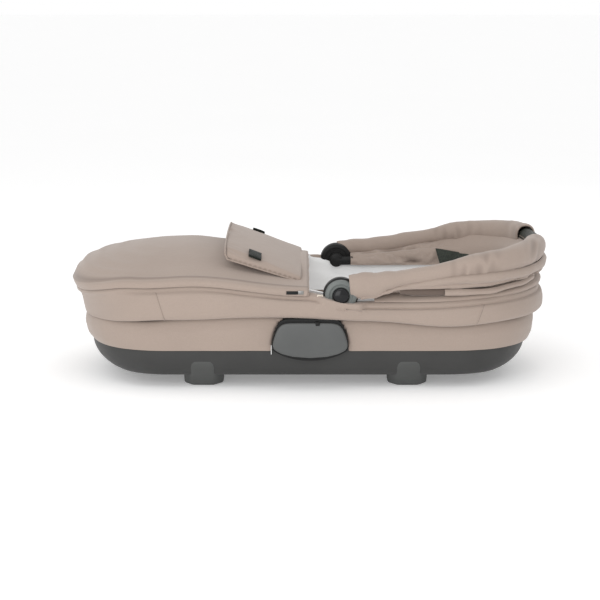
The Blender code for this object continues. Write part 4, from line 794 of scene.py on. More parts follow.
def finish_piece(
    mesh: bpy.types.Mesh, name: str, material: Material, thickness: float = 0.0, angle: float = 60.0
) -> Piece:
    """Links a mesh as a piece, thickens it, and shades it smooth.

    Args:
        mesh: The mesh.
        name: The piece's name.
        material: Its finish.
        thickness: Cloth thickness to add inwards.
        angle: Edges sharper than this many degrees stay sharp.

    Returns:
        The piece.
    """
    mesh.materials.append(material)
    piece = bpy.data.objects.new(name, mesh)
    bpy.context.scene.collection.objects.link(piece)
    if thickness:
        thicken(piece, thickness)
    smooth_faces(piece)
    select_only(piece)
    bpy.ops.object.shade_smooth_by_angle(angle=math.radians(angle))
    return piece


def select_only(piece: Piece) -> None:
    """Makes one piece the only selected and active one."""
    bpy.ops.object.select_all(action="DESELECT")
    piece.select_set(True)
    bpy.context.view_layer.objects.active = piece


@contextmanager
def editing(piece: Piece) -> Iterator[None]:
    """Edit mode on one piece, with all of it selected."""
    select_only(piece)
    bpy.ops.object.mode_set(mode="EDIT")
    bpy.ops.mesh.select_all(action="SELECT")
    yield
    bpy.ops.object.mode_set(mode="OBJECT")


def thicken(piece: Piece, thickness: float) -> None:
    """Gives a sheet its thickness, inwards."""
    solid = piece.modifiers.new("thickness", "SOLIDIFY")
    solid.thickness = thickness
    solid.offset = -1.0
    apply_modifier(piece, solid.name)


def move_points(piece: Piece, places: np.ndarray) -> None:
    """Puts a piece's vertices at new places."""
    piece.data.vertices.foreach_set("co", places.astype(np.float32).reshape(-1))


def smooth_faces(piece: Piece) -> None:
    """Shades every face of a piece smooth."""
    piece.data.polygons.foreach_set("use_smooth", [True] * len(piece.data.polygons))


def apply_modifier(piece: Piece, name: str) -> None:
    """Applies one of a piece's modifiers."""
    select_only(piece)
    bpy.ops.object.modifier_apply(modifier=name)


def ribbon(
    name: str,
    line: np.ndarray,
    up: np.ndarray,
    width: float,
    height: float,
    material: Material,
    closed: bool = False,
) -> Piece:
    """A flat or rounded strip that follows a line, such as a seam, a zip or a row of stitches.

    Args:
        name: The piece's name.
        line: The points followed.
        up: The direction away from the cloth at each point.
        width: The strip's width.
        height: How far it stands up.
        material: Its finish.
        closed: Whether the line is a loop.

    Returns:
        The piece.
    """
    line = np.asarray(line, float)
    run = np.roll(line, -1, axis=0) - np.roll(line, 1, axis=0) if closed else np.gradient(line, axis=0)
    run = unit(run)
    up = np.broadcast_to(np.asarray(up, float), line.shape)
    side = np.cross(run, up)
    side = unit(side)
    lift = np.cross(side, run)
    ring = []
    for step in range(8):
        angle = 2 * math.pi * step / 8
        ring.append(line + side * (width / 2 * math.cos(angle)) + lift * (height / 2 * math.sin(angle)))
    tube = np.stack(ring, axis=0)
    if closed:
        tube = np.concatenate([tube, tube[:, :1]], axis=1)
    strip = Sheet(np.concatenate([tube, tube[:1]], axis=0)[::-1])
    return strip.build(name, material)


def store(piece: Piece, name: str, values: np.ndarray) -> None:
    """Writes a number from 0 to 1 for each vertex into an attribute.

    Args:
        piece: The piece.
        name: The attribute's name.
        values: The numbers; a thickened sheet's second layer repeats the first.
    """
    attribute = piece.data.attributes.get(name) or piece.data.attributes.new(name, "FLOAT", "POINT")
    spread = np.resize(np.asarray(values, float).reshape(-1), len(piece.data.vertices))
    attribute.data.foreach_set("value", np.clip(spread, 0.0, 1.0).astype(np.float32))


def paint_crease_shade(piece: Piece, shade: np.ndarray = 0.0) -> None:
    """Stores the painted shade of the creases, as the attribute that the cloth finish reads."""
    store(piece, "crease", shade)


def points_of(piece: Piece) -> np.ndarray:
    """A piece's vertices as an array."""
    found = np.empty(len(piece.data.vertices) * 3, np.float32)
    piece.data.vertices.foreach_get("co", found)
    return found.reshape(-1, 3).astype(float)


def bell(place: np.ndarray, centre: float, width: float) -> np.ndarray:
    """A smooth bump of height 1 round a place."""
    return np.exp(-(((place - centre) / width) ** 2))


def bisect(piece: Piece, point: Sequence[float], normal: Sequence[float]) -> None:
    """Cuts a piece along a plane and keeps the side behind the plane's normal."""
    with editing(piece):
        bpy.ops.mesh.bisect(plane_co=point, plane_no=normal, clear_outer=True, use_fill=False)


@dataclass
class Band:
    """A ring of cloth round the rim.

    Attributes:
        name: The piece's name.
        columns: Points round the ring.
        rows: Points across it.
        thickness: The cloth's thickness.
    """

    name: str
    columns: int = 560
    rows: int = 46
    thickness: float = 0.0025

    def keys(self, x: np.ndarray, normal: np.ndarray) -> list[tuple[np.ndarray, np.ndarray]]:
        """Outward places and heights that the cloth passes through, from row to row."""
        raise NotImplementedError

    def ripple(self, points: np.ndarray, row: np.ndarray) -> np.ndarray:
        """How far the cloth stands out from its smooth shape."""
        soft = rumple(points, (9, 9, 26), 3.1)
        fine = rumple(points, (34, 34, 60), 7.7)
        return 0.0011 * soft + 0.0004 * fine

    def shade(self, points: np.ndarray, row: np.ndarray) -> np.ndarray:
        """How much painted shade darkens the creases."""
        return np.zeros(points.shape[:-1])

    def sheet(self) -> tuple[Sheet, np.ndarray]:
        """The band's grid and the share across it of each row."""
        place, normal, _ = RIM.outline(self.columns)
        rings = []
        for out, height in self.keys(place[:, 0], normal):
            out = np.broadcast_to(out, place[:, 0].shape)[:, None]
            height = np.broadcast_to(height, place[:, 0].shape)[:, None]
            rings.append(np.concatenate([place + normal * out, height], axis=1))
        spans = [0.0] + [float(np.linalg.norm(b - a, axis=1).mean()) for a, b in zip(rings, rings[1:])]
        run = np.cumsum(spans) / sum(spans)
        wanted = np.linspace(0.0, 1.0, self.rows)
        return Sheet(spline(rings, run, wanted), ring=True), wanted

    def make(self, material: Material) -> Piece:
        """Builds the band."""
        sheet, row = self.sheet()
        row = np.broadcast_to(row[:, None], sheet.points.shape[:2])
        shade = self.shade(sheet.points, row)
        sheet = sheet.push(self.ripple(sheet.points, row))
        self.cloth = sheet
        piece = sheet.build(self.name, material, self.thickness)
        paint_crease_shade(piece, shade)
        return piece


def seam_line(
    cloth: Sheet, start: Sequence[float], end: Sequence[float], side: float, count: int = 40
) -> tuple[np.ndarray, np.ndarray]:
    """A straight seam across a ring of cloth, on one of its long sides.

    Args:
        cloth: The ring's grid.
        start: Share across the ring and place along X where the seam starts.
        end: The same where it ends.
        side: -1 for the near side, 1 for the far one.
        count: Number of points.

    Returns:
        The seam's points and the directions away from the cloth there.
    """
    line, up = [], []
    normals = cloth.normals()
    for share in np.linspace(0.0, 1.0, count):
        row = (start[0] + (end[0] - start[0]) * share) * (cloth.points.shape[0] - 1)
        x = start[1] + (end[1] - start[1]) * share
        low = min(int(row), cloth.points.shape[0] - 2)
        part = row - low
        ring = cloth.points[low] * (1 - part) + cloth.points[low + 1] * part
        away = normals[low] * (1 - part) + normals[low + 1] * part
        keep = np.flatnonzero(ring[:, 1] * side > 0.1)
        order = keep[np.argsort(ring[keep, 0])]
        line.append([np.interp(x, ring[order, 0], ring[order, k]) for k in range(3)])
        up.append([np.interp(x, ring[order, 0], away[order, k]) for k in range(3)])
    return np.array(line), np.array(up)


def sew(name: str, line: np.ndarray, up: np.ndarray, finishes: "Finishes", body: str) -> list[Piece]:
    """A lapped seam: a dark groove and the lap's edge beside it."""
    run = np.gradient(line, axis=0)
    run = unit(run)
    side = np.cross(run, up)
    # The dark groove ribbon is painted shade in the seam's hollow.
    groove = ribbon(f"{name}_groove", line + up * 0.0001, up, 0.0011, 0.0006, finishes.shaded_taupe)
    lap = ribbon(f"{name}_lap", line + up * 0.0001 + side * 0.0016, up, 0.0024, 0.0014, finishes.taupe)
    for piece in (groove, lap):
        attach(piece, body)
    return [groove, lap]


@dataclass
class UpperBand(Band):
    """The upper band: round the rim tube, out over its bulge and in under the fold."""

    name: str = "upper_band"
    side_bulge: float = 0.0213
    foot_bulge: float = -0.009
    head_bulge: float = 0.0185
    tuck: float = 0.016
    tuck_rise: float = 0.003
    hem_start: float = 205.0
    hem_end: float = -18.0
    side_hem: float = 0.0126
    foot_hem: float = 0.0078
    head_hem: float = 0.0105
    hub_x: float = 0.0525
    row_shares: tuple = (
        (0.88, 0.42, 0.0040, 0.0246),
        (0.66, 0.86, -0.0010, 0.0238),
        (0.34, 1.0, -0.0040, 0.0220),
        (0.09, 0.80, -0.0065, 0.0),
        (0.0, 0.42, -0.0078, 0.0),
    )

    def keys(self, x: np.ndarray, normal: np.ndarray) -> list[tuple[np.ndarray, np.ndarray]]:
        """See Band.keys."""
        rim, fold = RIM.height(x), RIM.fold(x)
        reach = RIM.mix(normal, self.side_hem, self.foot_hem, self.head_hem)
        found = []
        pocket = 1 - ease((np.abs(x - self.hub_x) - 0.030) / 0.016)
        for degrees in np.linspace(self.hem_start, self.hem_end, 13):
            angle = math.radians(degrees)
            wide = reach if math.cos(angle) > 0 else RIM.hem
            out = wide * math.cos(angle)
            over = float(ease(np.array((100.0 - degrees) / 50.0)))
            found.append((out + (0.0246 - out) * over * pocket, rim + RIM.hem * math.sin(angle)))
        bulge = RIM.mix(normal, self.side_bulge, self.foot_bulge, self.head_bulge)
        foot = RIM.mix(normal, 0.0, 1.0, 0.0)
        for height, out, foot_out, front in self.row_shares:
            place = reach + (bulge - reach) * out
            place = place + (foot_out - place) * foot
            place = place + np.maximum(front - place, 0.0) * pocket
            found.append((place, fold + height * (rim - fold)))
        found.append((found[-1][0] - self.tuck * 0.8, fold + self.tuck_rise))
        return found

    def shade(self, points: np.ndarray, row: np.ndarray) -> np.ndarray:
        """See Band.shade."""
        # Painted shade in the tuck under the fold.
        return ease((row - 0.86) / 0.1) * 0.7


LOWER_OUTS = (0.0048, -0.010, -0.001)
LOWER_TUCK = 0.016


@dataclass
class LowerBand(Band):
    """The lower band: from the tub's edge up to its fold, drawn flat behind each bracket."""

    name: str = "lower_band"
    rows: int = 34
    columns: int = 1000
    tub_side: float = 0.002
    tub_foot: float = 0.0205
    tub_head: float = 0.009
    bottom: float = 0.0698
    fold_gap: float = 0.0012
    bracket_out: float = -0.0113
    row_shares: tuple = (
        (0.0, 0.0), (0.20, 0.62), (0.42, 0.88), (0.62, 1.0), (0.76, 0.94), (0.88, 0.82), (1.0, 0.45)
    )

    def keys(self, x: np.ndarray, normal: np.ndarray) -> list[tuple[np.ndarray, np.ndarray]]:
        """See Band.keys."""
        slack = 0.0055 * bell(x, -0.275, 0.045) + 0.004 * bell(x, 0.36, 0.03)
        fold = RIM.fold(x) - self.fold_gap - slack
        edge = RIM.mix(normal, self.tub_side, -self.tub_foot, -self.tub_head)
        bulge = RIM.mix(normal, *LOWER_OUTS)
        tucked = bulge - LOWER_TUCK
        found = []
        for height, out in self.row_shares:
            place = edge + (bulge - edge) * out
            if height > 0.62:
                place = bulge - 0.008 * (1 - out)
            z = self.bottom + height * (fold - self.bottom)
            half = np.interp(
                z, (0.070, 0.086, 0.104, 0.115, 0.122, 0.128), (0.0655, 0.0655, 0.0610, 0.0550, 0.046, 0.020)
            )
            behind = 1 - ease((np.abs(x) - half) / 0.0035)
            found.append((place + (self.bracket_out - place) * behind, z))
        found.append((tucked, fold - 0.003))
        return found

    def shade(self, points: np.ndarray, row: np.ndarray) -> np.ndarray:
        """See Band.shade."""
        # Painted shade towards the fold, where the band tucks under.
        return ease((row - 0.82) / 0.1) * 0.8


@dataclass
class Pleat(Band):
    """The tucked pleat that joins the two bands behind the fold."""

    name: str = "pleat_cloth"
    columns: int = 360
    rows: int = 9
    thickness: float = 0.0015
    depth: float = 0.008
    low_reach: float = 0.0054
    high_reach: float = 0.0045

    def keys(self, x: np.ndarray, normal: np.ndarray) -> list[tuple[np.ndarray, np.ndarray]]:
        """See Band.keys."""
        upper = RIM.mix(normal, 0.0163, -0.0078, 0.0138) - 0.0128
        lower = RIM.mix(normal, *LOWER_OUTS) - LOWER_TUCK
        fold = RIM.fold(x)
        return [
            (upper - 0.0003, fold + self.high_reach),
            (lower - self.depth, fold),
            (lower - 0.0003, fold - self.low_reach),
        ]

    def ripple(self, points: np.ndarray, row: np.ndarray) -> np.ndarray:
        """See Band.ripple."""
        return np.zeros(row.shape)

    def shade(self, points: np.ndarray, row: np.ndarray) -> np.ndarray:
        """See Band.shade."""
        # Painted shade over the whole pleat, which lies behind the fold.
        return np.full(row.shape, 0.9)


@dataclass
class Lining(Band):
    """The white lining that hangs inside, from the rim's hem to the tub."""

    name: str = "lining_cloth"
    gap: float = 0.0022
    hem: float = 0.0096
    bottom: float = 0.1105
    columns: int = 420
    rows: int = 24
    thickness: float = 0.0015

    def keys(self, x: np.ndarray, normal: np.ndarray) -> list[tuple[np.ndarray, np.ndarray]]:
        """See Band.keys."""
        inner = RIM.mix(normal, *LOWER_OUTS) - LOWER_TUCK - Pleat.depth - self.gap
        angle = math.radians(205.0)
        rim = RIM.height(x)
        return [
            (-0.0030, rim + 0.0122),
            (-0.0130, rim + 0.0072),
            (self.hem * math.cos(angle) - 0.006, rim + self.hem * math.sin(angle)),
            (inner, RIM.fold(x) + 0.0067),
            (inner, self.bottom),
        ]

    def ripple(self, points: np.ndarray, row: np.ndarray) -> np.ndarray:
        """See Band.ripple."""
        fold = rumple(points, (16, 16, 5), 12.4)
        return 0.0012 * fold * ease(row * 3) * ease((1 - row) * 6) - 0.0006


@dataclass
class Apron:
    """The zipped apron over the foot half: a side band, a piped edge and a crowned top.

    Attributes:
        out: How far the side band stands out from the rim; not used.
        band: Height of the side band.
        clearance: Space over the rim's hem.
        crown: How far the middle stands above the edge; not used.
        edge_x: Where the apron ends at the opening.
        spine: The half length of the middle line that the top runs up to.
    """

    out: float = 0.0145
    band: float = 0.0155
    clearance: float = 0.0012
    crown: float = 0.0195
    edge_x: float = -0.004
    spine: float = 0.22275
    columns: int = 560
    ridge: tuple = (
        (-0.2228, 0.2337), (-0.1489, 0.2275), (-0.08, 0.2150), (-0.0135, 0.2000), (0.0, 0.1985), (0.3, 0.17)
    )
    foot_shares: tuple = (
        (0.0, 0.0),
        (0.04, 0.27),
        (0.114, 0.50),
        (0.25, 0.677),
        (0.43, 0.83),
        (0.655, 0.955),
        (0.834, 0.995),
        (1.0, 1.0),
    )

    def surface(self) -> Sheet:
        """The apron's grid, with rows from the hem to the middle line."""
        place, normal, _ = RIM.outline(self.columns)
        x = place[:, 0]
        rim = RIM.height(x)
        side = []
        table = (
            (0.0132, 0.0072, 0.28),
            (0.0140, 0.0086, 0.46),
            (0.0138, 0.0100, 0.68),
            (0.0112, 0.0116, 0.88),
            (0.0060, 0.0120, 1.0),
        )
        for out, foot_out, height in table:
            z = rim + self.clearance + self.band * height
            reach = RIM.mix(normal, out, foot_out, out)[:, None]
            side.append(np.concatenate([place + normal * reach, z[:, None]], axis=1))
        rows = list(spline(side, (0.0, 0.3, 0.6, 0.82, 1.0), np.linspace(0.0, 1.0, 16)))
        edge = rows[-1]
        target = np.clip(x, -self.spine, self.spine)
        foot = RIM.mix(normal, 0.0, 1.0, 0.0)
        for share in np.linspace(0.0, 1.0, 60)[1:]:
            flat_x = edge[:, 0] + (target - edge[:, 0]) * share
            flat_y = edge[:, 1] * (1 - share)
            rise = 1 - (1 - share) ** 2.1
            rise = rise + (float(along(self.foot_shares, share)) - rise) * foot
            z = edge[:, 2] + (along(self.ridge, target) - edge[:, 2]) * rise
            rows.append(np.stack([flat_x, flat_y, z], axis=1))
        return Sheet(np.stack(rows, axis=0), ring=True)

    def make(self, finishes: Finishes) -> list[Piece]:
        """Builds the apron and its edge trims."""
        sheet = self.surface()
        points = sheet.points
        row = np.broadcast_to(np.arange(points.shape[0])[:, None], points.shape[:2])
        groove = np.exp(-(((row - 15.5) / 0.9) ** 2)) + 0.8 * np.exp(-(((row - 9.5) / 0.7) ** 2))
        soft = rumple(points, (7, 7, 7), 4.4) * 0.0022 * ease((row - 17) / 12)
        fine = rumple(points, (30, 30, 30), 9.1) * 0.0003
        sheet = sheet.push(soft + fine - 0.0007 * groove)
        piece = sheet.build("apron_cloth", finishes.taupe)
        # Painted shade along the groove where the top meets the side band, beside the piping.
        paint_crease_shade(piece, (0.75 * np.exp(-(((row - 15.6) / 0.6) ** 2))).reshape(-1))
        bisect(piece, (self.edge_x, 0.0, 0.0), (1.0, 0.0, 0.0))
        weld(piece, 0.0004)
        thicken(piece, 0.0025)
        trims = [self.piping(sheet, finishes), self.zip_line(sheet, finishes), self.hem(sheet, finishes)]
        for part in (piece, *trims):
            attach(part, Body.RIM.value)
        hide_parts("apron")
        return [piece, *trims]

    def run(self, sheet: Sheet, row: int, lift: float = 0.0) -> tuple[np.ndarray, np.ndarray]:
        """One row's points as far as the opening, and the directions away from the cloth there."""
        normals = sheet.normals()[row]
        line = sheet.points[row] + normals * lift
        keep = np.flatnonzero(line[:, 0] < self.edge_x - 0.001)
        return line[keep], normals[keep]

    def piping(self, sheet: Sheet, finishes: Finishes) -> Piece:
        """The piped seam between the top and the side band."""
        line, up = self.run(sheet, 14, 0.0002)
        return ribbon("apron_piping", line, up, 0.0020, 0.0022, finishes.taupe)

    def zip_line(self, sheet: Sheet, finishes: Finishes) -> Piece:
        """The zip's coil, half hidden by the side band's edge."""
        line, up = self.run(sheet, 1, -0.0004)
        return ribbon("apron_zip", line, up, 0.0030, 0.0022, finishes.zip)

    def hem(self, sheet: Sheet, finishes: Finishes) -> Piece:
        """The doubled hem along the opening, a little wavy."""
        points = []
        for number in range(sheet.points.shape[0]):
            line = sheet.points[number]
            for part in (line[line[:, 1] < 0], line[line[:, 1] > 0][::-1]):
                order = np.argsort(part[:, 0])
                points.append(
                    [np.interp(self.edge_x - 0.004, part[order, 0], part[order, k]) for k in (1, 2)]
                )
        points = np.array([[self.edge_x - 0.004, y, z] for y, z in points])
        points = points[np.argsort(points[:, 1])]
        step = np.linalg.norm(np.diff(points, axis=0), axis=1)
        points = points[np.concatenate([[True], step > 1e-4])]
        wave = rumple(points, (0, 26, 0), 2.2) * 0.0014
        points[:, 0] += wave
        points[:, 2] -= 0.0006
        return ribbon("apron_hem", points, (0.0, 0.0, 1.0), 0.0125, 0.0042, finishes.taupe)


@dataclass
class Walls:
    """The cloth walls of the cot: two bands, the pleat between them and the lining."""

    upper: UpperBand = field(default_factory=UpperBand)
    lower: LowerBand = field(default_factory=LowerBand)
    pleat: Pleat = field(default_factory=Pleat)
    lining: Lining = field(default_factory=Lining)

    def make(self, finishes: Finishes) -> list[Piece]:
        """Builds the walls and ties each to its body."""
        upper = self.upper.make(finishes.taupe)
        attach(upper, Body.RIM.value)
        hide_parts("upper_wall")
        lower = self.lower.make(finishes.taupe)
        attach(lower, Body.BASE.value)
        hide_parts("lower_wall")
        # The pleat is made in the darker copy of the taupe: painted shade for cloth behind the fold.
        pleat = self.pleat.make(finishes.shaded_taupe)
        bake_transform(pleat, Body.BASE.value, Body.RIM.value, (0.0, 0.0, 0.112), (0.0, 0.0, 0.132))
        weigh(pleat, lambda points: ease((points[:, 2] - (RIM.fold(points[:, 0]) - 0.0054)) / 0.0099))
        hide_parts("wall_pleat")
        lining = self.lining.make(finishes.white)
        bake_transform(lining, Body.BASE.value, Body.RIM.value, (0.0, 0.0, 0.1105), (0.0, 0.0, 0.17))
        weigh(
            lining, lambda points: np.clip(
                (points[:, 2] - self.lining.bottom) / (RIM.height(points[:, 0]) - 0.115), 0, 1
            )
        )
        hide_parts("inner_lining")
        return [upper, lower, pleat, lining, *self.seams(finishes)]

    def seams(self, finishes: Finishes) -> list[Piece]:
        """The slanted seams that join the panels of each band, on both sides."""
        found = []
        for side, name in ((-1.0, "near"), (1.0, "far")):
            upper = self.upper.cloth, Body.RIM.value
            lower = self.lower.cloth, Body.BASE.value
            table = (
                ("upper_foot", *upper, (0.43, -0.2645), (0.87, -0.2485)),
                ("upper_head", *upper, (0.43, 0.300), (0.87, 0.285)),
                ("lower_foot", *lower, (0.80, -0.2112), (0.03, -0.1925)),
                ("lower_head", *lower, (0.78, 0.197), (0.40, 0.209)),
            )
            for label, cloth, body, start, end in table:
                line, up = seam_line(cloth, start, end, side)
                found += sew(f"seam_{label}_{name}", line, up, finishes, body)
        return found


def weigh(piece: Piece, share: Callable[[np.ndarray], np.ndarray]) -> None:
    """Sets a blended piece's weights from its points' places."""
    set_weights(piece, share(points_of(piece)))


@dataclass(frozen=True)
class Bow:
    """Centre line of one U-shaped hood bow, from its near hinge round the head end to its far one.

    Attributes:
        arm_out: How far each arm lies from the middle.
        reach: From the hinge to the middle of the head end.
        tilt: Slope of the folded bow, in degrees.
        arch: How far its middle bows upwards.
        end_length: Length of the curved end.
        power: Fullness of the curved end.
    """

    arm_out: float
    reach: float
    tilt: float
    arch: float = 0.0
    end_length: float = 0.165
    power: float = 2.4
    hub_x: float = 0.0525
    hub_z: float = 0.168
    socket: float = 0.056

    def line(self, count: int) -> np.ndarray:
        """Evenly spaced points along the bow."""
        straight = self.reach - self.end_length
        curve = (straight, 0.0) + quarter(self.end_length, -self.arm_out, self.power, 200)[::-1]
        near = np.concatenate([[[0.0, -self.arm_out]], curve])
        flat = np.concatenate([near, near[::-1][1:] * (1, -1)])
        r, y = evenly(flat, count).T
        angle = math.radians(self.tilt)
        rise = self.arch * np.sin(
            math.pi * np.clip((r - self.socket) / (self.reach - self.socket), 0, 1)
        ) ** 2
        return np.stack(
            [self.hub_x + r * math.cos(angle), y, self.hub_z + r * math.sin(angle) + rise], axis=1
        )

    def head(self, points: np.ndarray) -> np.ndarray:
        """How near points lie to the head end, from 0 at the hinge to 1."""
        return ease((points[..., 0] - self.hub_x) / (self.reach * math.cos(math.radians(self.tilt))))


ROLL_THIN = 0.0078
ROLL_SWELL = 0.0062
HOOD_CLOTH = 0.0018
FRONT_BOW = Bow(0.2022, 0.3600, 10.5, 0.008)
REAR_BOW = Bow(0.178, 0.3475, 3.8)


def frame_of(line: np.ndarray) -> tuple[np.ndarray, np.ndarray, np.ndarray]:
    """Directions along a line, out to its side and up, at each point."""
    run = np.gradient(line, axis=0)
    run = unit(run)
    side = np.cross(run, (0.0, 0.0, 1.0))
    side = unit(side)
    return run, side, np.cross(side, run)


def sweep(line: np.ndarray, wide: np.ndarray, high: np.ndarray, rows: int = 33, square: float = 2.0) -> Sheet:
    """A closed section carried along a line.

    Args:
        line: The centres.
        wide: Half widths at each centre.
        high: Half heights at each centre.
        rows: Points round the section, the last on the first.
        square: Power of the section's curve; over 2 is squarer.

    Returns:
        The tube, with its faces outwards.
    """
    _, side, lift = frame_of(line)
    rings = []
    for angle in np.linspace(2 * math.pi, 0.0, rows):
        c, s = math.cos(angle), math.sin(angle)
        across = math.copysign(abs(c) ** (2 / square), c)
        above = math.copysign(abs(s) ** (2 / square), s)
        rings.append(line + side * (wide * across)[:, None] + lift * (high * above)[:, None])
    return Sheet(np.stack(rings, axis=0))


def close_ends(piece: Piece) -> None:
    """Fills a tube's open ends and merges its seam."""
    with editing(piece):
        bpy.ops.mesh.remove_doubles(threshold=0.00002)
        bpy.ops.mesh.select_all(action="DESELECT")
        bpy.ops.mesh.select_mode(type="EDGE")
        bpy.ops.mesh.select_non_manifold()
        bpy.ops.mesh.edge_face_add()
        bpy.ops.mesh.select_all(action="SELECT")
        bpy.ops.mesh.normals_make_consistent(inside=False)


@dataclass
class HandleSleeve:
    """One padded fabric sleeve of the carry handle, from its pouch at the hinge to the grip.

    Attributes:
        side: "near" or "far".
        sizes: Places along X with the half height, the half width and the lift over the bow.
    """

    side: str
    sizes: tuple = ()
    start_x: float = 0.067
    slant: float = 0.0
    grip_half: float = 0.062
    columns: int = 260
    rows: int = 49

    def place(self) -> np.ndarray:
        """The sleeve's centre line before its lift."""
        line = FRONT_BOW.line(900)
        line = line[line[:, 1] <= -self.grip_half]
        line = line[line[:, 0] >= self.start_x]
        return evenly(line, self.columns)

    def make(self, finishes: Finishes) -> Piece:
        """Builds the sleeve."""
        line = self.place()
        x = line[:, 0]
        high = along([(a, h) for a, h, _, _ in self.sizes], x)
        wide = along([(a, w) for a, _, w, _ in self.sizes], x)
        lift = along([(a, up) for a, _, _, up in self.sizes], x)
        line[:, 2] += lift
        columns = np.arange(self.columns)
        opening = ease(columns / 5.0) * ease((self.columns - 1 - columns) / 4.0)
        high = high * (0.94 + 0.06 * opening)
        wide = wide * (0.90 + 0.10 * opening)
        sheet = sweep(line, wide, high, self.rows, 2.15)
        points = sheet.points
        share = columns[None, :] / (self.columns - 1)
        gather = bell(points[..., 0], 0.285, 0.035) + 0.8 * bell(points[..., 0], 0.395, 0.02)
        pull = rumple(points, (70, 16, 24), 5.5, ridged=True) - 0.4
        soft = rumple(points, (14, 14, 22), 8.2)
        fine = rumple(points, (46, 46, 46), 1.9)
        amount = 0.0016 * soft + 0.00055 * fine + gather * 0.0016 * pull
        amount += 0.0010 * bell(points[..., 0], self.start_x + 0.03, 0.03) * rumple(points, (60, 20, 25), 3.3)
        sheet = sheet.push(amount * ease(share * 20) * ease((1 - share) * 30))
        sheet.points[..., 0] += self.slant * (sheet.points[..., 2] - line[:, 2][None, :]) * (
            1 - ease(share * 8)
        )
        if self.side == "far":
            sheet.points[..., 1] *= -1
            sheet.points = sheet.points[::-1]
        piece = sheet.build(f"handle_sleeve_cloth_{self.side}", finishes.taupe)
        # Painted shade in the hollows of the gathers.
        dark = 0.55 * np.clip(gather * (0.42 - pull), 0, 1)
        if self.side == "far":
            dark = dark[::-1]
        paint_crease_shade(piece, dark.reshape(-1))
        weld(piece)
        thicken(piece, 0.0022)
        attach(piece, Body.FRONT.value)
        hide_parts(f"handle_sleeve_{self.side}")
        return piece


NEAR_SLEEVE = (
    (0.064, 0.0205, 0.0125, 0.0126),
    (0.088, 0.0222, 0.0150, 0.0100),
    (0.110, 0.0222, 0.0155, 0.0066),
    (0.130, 0.0160, 0.0150, 0.0102),
    (0.152, 0.0134, 0.0140, 0.0090),
    (0.220, 0.0146, 0.0145, 0.0020),
    (0.325, 0.0206, 0.0200, 0.0012),
    (0.365, 0.0215, 0.0205, 0.0022),
    (0.430, 0.0200, 0.0190, 0.0010),
)
FAR_SLEEVE = (
    (0.055, 0.0150, 0.0125, 0.0170),
    (0.084, 0.0152, 0.0140, 0.0145),
    (0.120, 0.0160, 0.0145, 0.0100),
    (0.174, 0.0164, 0.0150, 0.0060),
    (0.232, 0.0146, 0.0145, 0.0012),
    (0.300, 0.0200, 0.0185, 0.0005),
    (0.360, 0.0210, 0.0205, 0.0010),
    (0.430, 0.0196, 0.0190, 0.0000),
)


@dataclass
class Grip:
    """The stitched carrying grip at the middle of the handle."""

    half: float = 0.066
    radius: float = 0.0128

    def make(self, finishes: Finishes) -> list[Piece]:
        """Builds the grip and its row of stitches."""
        line = FRONT_BOW.line(1400)
        line = line[np.abs(line[:, 1]) <= self.half][::4]
        size = np.full(len(line), self.radius)
        sheet = sweep(line, size, size, 41)
        sheet = sheet.push(0.00035 * rumple(sheet.points, (40, 40, 40), 6.1))
        grip = sheet.build("grip_cover", finishes.cover)
        close_ends(grip)
        _, side, _ = frame_of(line)
        seam = ribbon(
            "grip_seam", line + side * (-self.radius * 0.995), -side, 0.0012, 0.0008, finishes.stitch
        )
        for piece in (grip, seam):
            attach(piece, Body.FRONT.value)
        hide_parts("handle_grip")
        return [grip, seam]


@dataclass
class RearRoll:
    """The fabric tunnel round the rear bow, a soft roll under the handle's sleeves."""

    start_x: float = 0.084
    columns: int = 420

    def make(self, finishes: Finishes) -> Piece:
        """Builds the roll."""
        line = REAR_BOW.line(1600)
        line = line[line[:, 0] >= self.start_x]
        keep = np.linspace(0, len(line) - 1, self.columns).astype(int)
        line = line[keep]
        head = REAR_BOW.head(line)
        size = ROLL_THIN + ROLL_SWELL * head
        sheet = sweep(line, size, size * 1.05, 33)
        ripple = 0.0012 * rumple(sheet.points, (16, 16, 30), 7.3) + 0.0004 * rumple(
            sheet.points, (60, 60, 60), 2.9
        )
        sheet = sheet.push(ripple)
        piece = sheet.build("rear_bow_cloth", finishes.taupe)
        weld(piece)
        paint_crease_shade(piece)
        thicken(piece, 0.002)
        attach(piece, Body.REAR.value)
        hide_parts("rear_bow_sleeve")
        return piece


